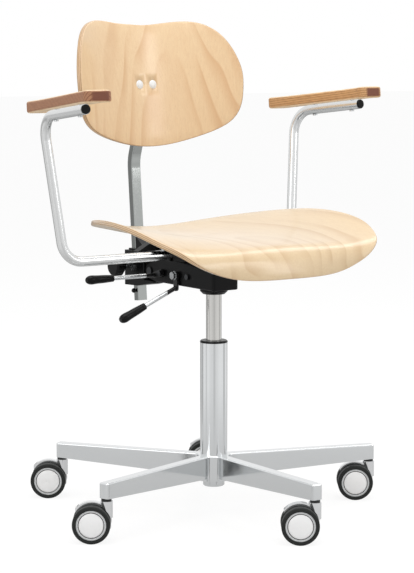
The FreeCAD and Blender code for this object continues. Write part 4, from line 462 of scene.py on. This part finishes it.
def plywood(name, lengthwise, centre_mm, face_light, face_dark, edge_light, edge_dark, sheet_mm):
    """Lacquered beech plywood. lengthwise turns the pattern so that Z runs along the grain."""
    made, tree, shader = material(name, Roughness=0.45, Coat_Weight=0.8, Coat_Roughness=0.20)
    light, dark, edge_dark = colour(face_light), colour(face_dark), colour(edge_dark)
    along = node(tree, "ShaderNodeMapping", {"Vector": own_place(tree), "Rotation": lengthwise,
                                             "Location": [value * MM for value in centre_mm]}).outputs[0]
    fine = drawn_out(tree, along, 1.0, 1.0, FIBRE_RUN)
    fibre = noise(tree, fine, FIBRE_MM, 3.0)
    fleck = noise(tree, fine, FLECK_MM, 1.0)
    veneer = blended(tree, growth_rings(tree, along), light, dark)
    veneer = blended(tree, rises(tree, fibre, *FIBRE_SHOWS), veneer, dark)
    veneer = blended(tree, rises(tree, fleck, *FLECK_SHOWS), veneer, edge_dark)

    depth = node(tree, "ShaderNodeAttribute", attribute_name="depth").outputs["Fac"]
    wave = maths(tree, "SINE", maths(tree, "MULTIPLY", depth, math.pi / PLY_MM))
    plies = blended(tree, rises(tree, wave, *GLUE_LINE), edge_dark, colour(edge_light))
    half = sheet_mm / 2
    off_middle = maths(tree, "ABSOLUTE", maths(tree, "SUBTRACT", depth, half))
    cut = rises(tree, off_middle, half - EDGE_FADE_MM[0], half - EDGE_FADE_MM[1], 1.0, 0.0)
    tree.links.new(blended(tree, cut, veneer, plies), shader.inputs["Base Color"])
    bumps(tree, shader, fibre, FIBRE_BUMP, SKIN_MM)
    return made


back_shell.data.materials[0] = plywood(
    "lacquered_beech_plywood_back", (0, 0, 0), (-45, 0, -640),
    "#EFD0A5", "#DFB688", "#DDBA90", "#B08A5E", back_sheet)
# The seat's veneer colours are darker than the back's, as painted shade: both are the same beech
# plywood.
seat_shell.data.materials[0] = plywood(
    "lacquered_beech_plywood_seat", (math.radians(90), 0, 0), (-20, 0, 60),
    "#E6CCA4", "#D6B68B", "#E6C69C", "#AD875C", seat_sheet)
print("plywood sheets:", round(back_sheet, 2), "and", round(seat_sheet, 2), "mm")

# %% [markdown]
# Arm pads. Each pad is cut from a beech block glued from long strips, a warmer and redder wood than
# the face veneer. The strips show as lines along the pad's sides, the top and underside are one
# pale strip, and both ends are dark end grain. The material reads the direction a face looks in,
# in the piece's own coordinates, so it holds in every pose. The right pad's strips are darker than
# the left's: painted shade, for its outer side in shadow. Its steep slanted lines are partly strip
# lines and partly a painted highlight.

# %% Laminated beech pads
PAD_RUN, PAD_FIBRE_MM, PAD_BUMP = 0.05, 2, 0.08  # the fibres' scale lengthwise, width and relief
STRIP_LINE = (0.4, 0.9)  # the part of a strip's wave that turns into a brown line
SIDE_SHOWS, TOP_SHOWS = (0.45, 1.1), (0.35, 0.75)  # the noise at which fibres show
FACES_UP, FACES_ALONG = (0.55, 0.75), (0.90, 0.99)  # how straight a face must look that way
PALE_TOP, BROWN_TOP = "#F3DDBB", "#DDB98C"
BROWN_FIBRE, END_GRAIN = "#84503A", "#7A4A38"


def pad_wood(name, pale_strip_and_shade, brown_strip_and_shade, slope, strip_mm):
    """Glued beech strips: pale above and below, brown sides with fine lines, dark ends. For the right
    pad, the side colours are painted shade.
    """
    made, tree, shader = material(name, Roughness=0.50, Coat_Weight=0.05, Coat_Roughness=0.2,
                                  Specular_IOR_Level=0.3)
    coordinates = node(tree, "ShaderNodeTexCoord").outputs
    place = parted(tree, coordinates["Object"])
    facing = parted(tree, coordinates["Normal"])
    fibre = noise(tree, drawn_out(tree, coordinates["Object"], 1.0, PAD_RUN, 1.0), PAD_FIBRE_MM, 3.0)
    slant = maths(tree, "MULTIPLY_ADD", place["Y"], slope, place["Z"])
    strips = maths(tree, "SINE", maths(tree, "MULTIPLY", slant, 2 * math.pi / (strip_mm * MM)))
    side = blended(tree, rises(tree, strips, *STRIP_LINE), colour(pale_strip_and_shade), colour(brown_strip_and_shade))
    side = blended(tree, rises(tree, fibre, *SIDE_SHOWS), side, colour(BROWN_FIBRE))
    flat = blended(tree, rises(tree, fibre, *TOP_SHOWS), colour(PALE_TOP), colour(BROWN_TOP))
    up = maths(tree, "ABSOLUTE", facing["Z"])
    along = maths(tree, "ABSOLUTE", facing["Y"])
    skin = blended(tree, rises(tree, up, *FACES_UP), side, flat)
    skin = blended(tree, rises(tree, along, *FACES_ALONG), skin, colour(END_GRAIN))
    tree.links.new(skin, shader.inputs["Base Color"])
    bumps(tree, shader, fibre, PAD_BUMP, SKIN_MM)
    return made


# The right pad's strip colours are painted shade, and its steep slope draws lines that are partly strips
# and partly a painted highlight.
PAD_LOOKS_WITH_PAINTED_SHADE = (("arm_pad_right", "#B58463", "#8A5A42", 1.6, 9),
        ("arm_pad_left", "#D6A877", "#AE7F50", 0.12, 4))
for name, *look in PAD_LOOKS_WITH_PAINTED_SHADE:
    nodes[name].data.materials[0] = pad_wood("laminated_beech_" + name, *look)
    print(name, nodes[name].data.materials[0].name)

# %% [markdown]
# Large pale wood next to polished metal turns it brown. White cards held close to the metal keep
# the wood out of its reflections. Here the seat and the pads are simply not seen in them.

# %% Wood kept out of reflections
for piece in (seat_shell, nodes["arm_pad_right"], nodes["arm_pad_left"]):
    piece.visible_glossy = False
    print("not mirrored:", piece.name)

# %% [markdown]
# The floor is plain white paper. Seen directly, it is nearly even white, and only the chair's shadow
# greys it a little. In a mirror it is painted darker near the chair, as painted shade of the chair.
# For the light that it throws back, it is a plain grey.
#
# Polished metal also needs something dark to mirror, as black flags beside a photographer's table
# give it. There are no flags here: reflections, and only they, see the floor darker in a few
# directions from the chair, as painted dark reflections.

# %% Dark reflections painted on the floor
CAMERA_SIDE = 235        # degrees from +X to the camera's side of the floor
CLEAR_M = (0.5, 1.2)     # no flag nearer to the chair than this, and all of it beyond
# Each flag is a dark reflection painted on the floor; no flag stands in the room.
# Turn from the camera's side in degrees, half width that is fully dark, half width where the flag
# ends, and how much it darkens.
PAINTED_FLAGS = ((5, 4, 12, 0.34), (0, 15, 48, 0.12), (97, 5, 14, 0.40), (-66, 2, 7, 0.30),
         (-110, 5, 10, 0.60), (-155, 18, 34, 0.62), (165, 12, 26, 0.62))


def painted_dark_reflections(tree, place, distance):
    """How much darker a reflection sees the floor at each place: painted dark reflections."""
    toward = node(tree, "ShaderNodeVectorMath", {0: place}, operation="NORMALIZE").outputs[0]
    darkness = 0.0
    for turn, full, none, share in PAINTED_FLAGS:
        way = math.radians(CAMERA_SIDE + turn)
        near = node(tree, "ShaderNodeVectorMath", {0: toward, 1: (math.cos(way), math.sin(way), 0)},
                    operation="DOT_PRODUCT").outputs["Value"]
        limits = {"From Min": math.cos(math.radians(none)), "From Max": math.cos(math.radians(full))}
        flag = node(tree, "ShaderNodeMapRange", {"Value": near, **limits, "To Max": share},
                    interpolation_type="SMOOTHSTEP").outputs[0]
        darkness = maths(tree, "MAXIMUM", flag, darkness)
    return maths(tree, "MULTIPLY", darkness, rises(tree, distance, *CLEAR_M))


print("flags:", len(PAINTED_FLAGS))

# %% [markdown]
# The paper has two faces: the plain grey one, and a glowing white one that the camera and mirrors
# see. Most of what they see is the glow, and the rest is the grey one with the chair's shadow.

# %% Floor
FLOOR_M = 60
SEEN_GLOW = 1.10         # how bright the camera sees the paper
SEEN_SHARE = 0.80        # how much of what is seen is the glow
# Mirrors see the floor darker near the chair: painted shade of the chair.
MIRRORED_PAINTED_SHADE = (0.5, 1.3, 0.66, 0.96)  # mirrored brightness: metres from and to, brightness from and to
bpy.ops.mesh.primitive_plane_add(size=FLOOR_M)
floor = bpy.context.object
floor.name = "studio_floor"
paper, tree, shader = material("studio_paper", Base_Color=colour("#E6E6E6"), Roughness=0.9)
rays = node(tree, "ShaderNodeLightPath").outputs
seen = maths(tree, "MAXIMUM", rays["Is Camera Ray"], rays["Is Glossy Ray"])
seen = maths(tree, "MAXIMUM", seen, rays["Is Transmission Ray"])
place = own_place(tree)
distance = node(tree, "ShaderNodeVectorMath", {0: place}, operation="LENGTH").outputs["Value"]
mirrored = maths(tree, "SUBTRACT", rises(tree, distance, *MIRRORED_PAINTED_SHADE), painted_dark_reflections(tree, place, distance))
glow = between(tree, rays["Is Glossy Ray"], SEEN_GLOW, mirrored)
white = node(tree, "ShaderNodeEmission", {"Color": (1, 1, 1, 1), "Strength": glow})
both = node(tree, "ShaderNodeMixShader", {0: maths(tree, "MULTIPLY", seen, SEEN_SHARE),
                                          1: shader.outputs[0], 2: white.outputs[0]})
tree.links.new(both.outputs[0], tree.nodes["Material Output"].inputs["Surface"])
floor.data.materials.append(paper)
print("floor:", floor.name, paper.name)

# %% [markdown]
# The air around the chair is white for the camera, nearly so in reflections, and throws half as
# much light, so that the lamps still draw shadows.

# %% Air
AIR_LIGHT, AIR_MIRRORED, AIR_SEEN = 0.50, 0.98, 1.0
world = bpy.data.worlds.new("studio_air")
bpy.context.scene.world = world
world.use_nodes = True
tree = world.node_tree
tree.nodes.clear()
rays = node(tree, "ShaderNodeLightPath").outputs
strength = between(tree, rays["Is Glossy Ray"], AIR_LIGHT, AIR_MIRRORED)
strength = between(tree, rays["Is Camera Ray"], strength, AIR_SEEN)
air = node(tree, "ShaderNodeBackground", {"Color": (1, 1, 1, 1), "Strength": strength})
node(tree, "ShaderNodeOutputWorld", {"Surface": air.outputs[0]})
print("air:", world.name)

# %% [markdown]
# Four soft lamps: a large one above, one to each side and a small one behind. All of them look at
# the middle of the chair.

# %% Lamps
AIM = (0, 0, 0.5)
# Name, place in metres, width and height in metres, and power in watts.
LAMPS = (("lamp_above", (-0.3, -0.3, 3.2), 2.4, 2.4, 50),
         ("lamp_left", (-3.0, -0.6, 1.6), 1.8, 1.8, 14),
         ("lamp_right", (1.45, -2.35, 1.75), 0.5, 1.8, 13),
         ("lamp_behind", (1.9, 0.6, 2.9), 1.0, 1.0, 9))
for name, place, wide, tall, power in LAMPS:
    lamp = bpy.data.lights.new(name, "AREA")
    lamp.shape = "RECTANGLE"
    lamp.size, lamp.size_y = wide, tall
    lamp.energy = power
    made = bpy.data.objects.new(name, lamp)
    made.location = place
    made.rotation_euler = (Vector(AIM) - Vector(place)).to_track_quat("-Z", "Y").to_euler()
    bpy.context.scene.collection.objects.link(made)
print("lamps:", *[lamp[0] for lamp in LAMPS])

# %% [markdown]
# The camera stands 3.4 m away, a little higher than the arm pads, and looks slightly down through
# a long lens.

# %% Camera
SENSOR_MM, LENS_MM = 36, 120.3
EYE_M = (-1.9626, -2.7892, 0.8208)
TILT, TURN = 83.077, -34.926  # degrees: 90 would be level, and 0 along +Y
camera = bpy.data.cameras.new("camera")
camera.sensor_fit = "VERTICAL"
camera.sensor_height = SENSOR_MM
camera.lens = LENS_MM
eye = bpy.data.objects.new("camera", camera)
eye.location = EYE_M
eye.rotation_euler = (math.radians(TILT), 0, math.radians(TURN))
bpy.context.scene.collection.objects.link(eye)
bpy.context.scene.camera = eye
bpy.context.scene.view_settings.view_transform = "Standard"
print("camera at", tuple(eye.location))

# %% [markdown]
# Nothing was added that stands proud of the CAD model.

# %% The end
print("scene dressed")
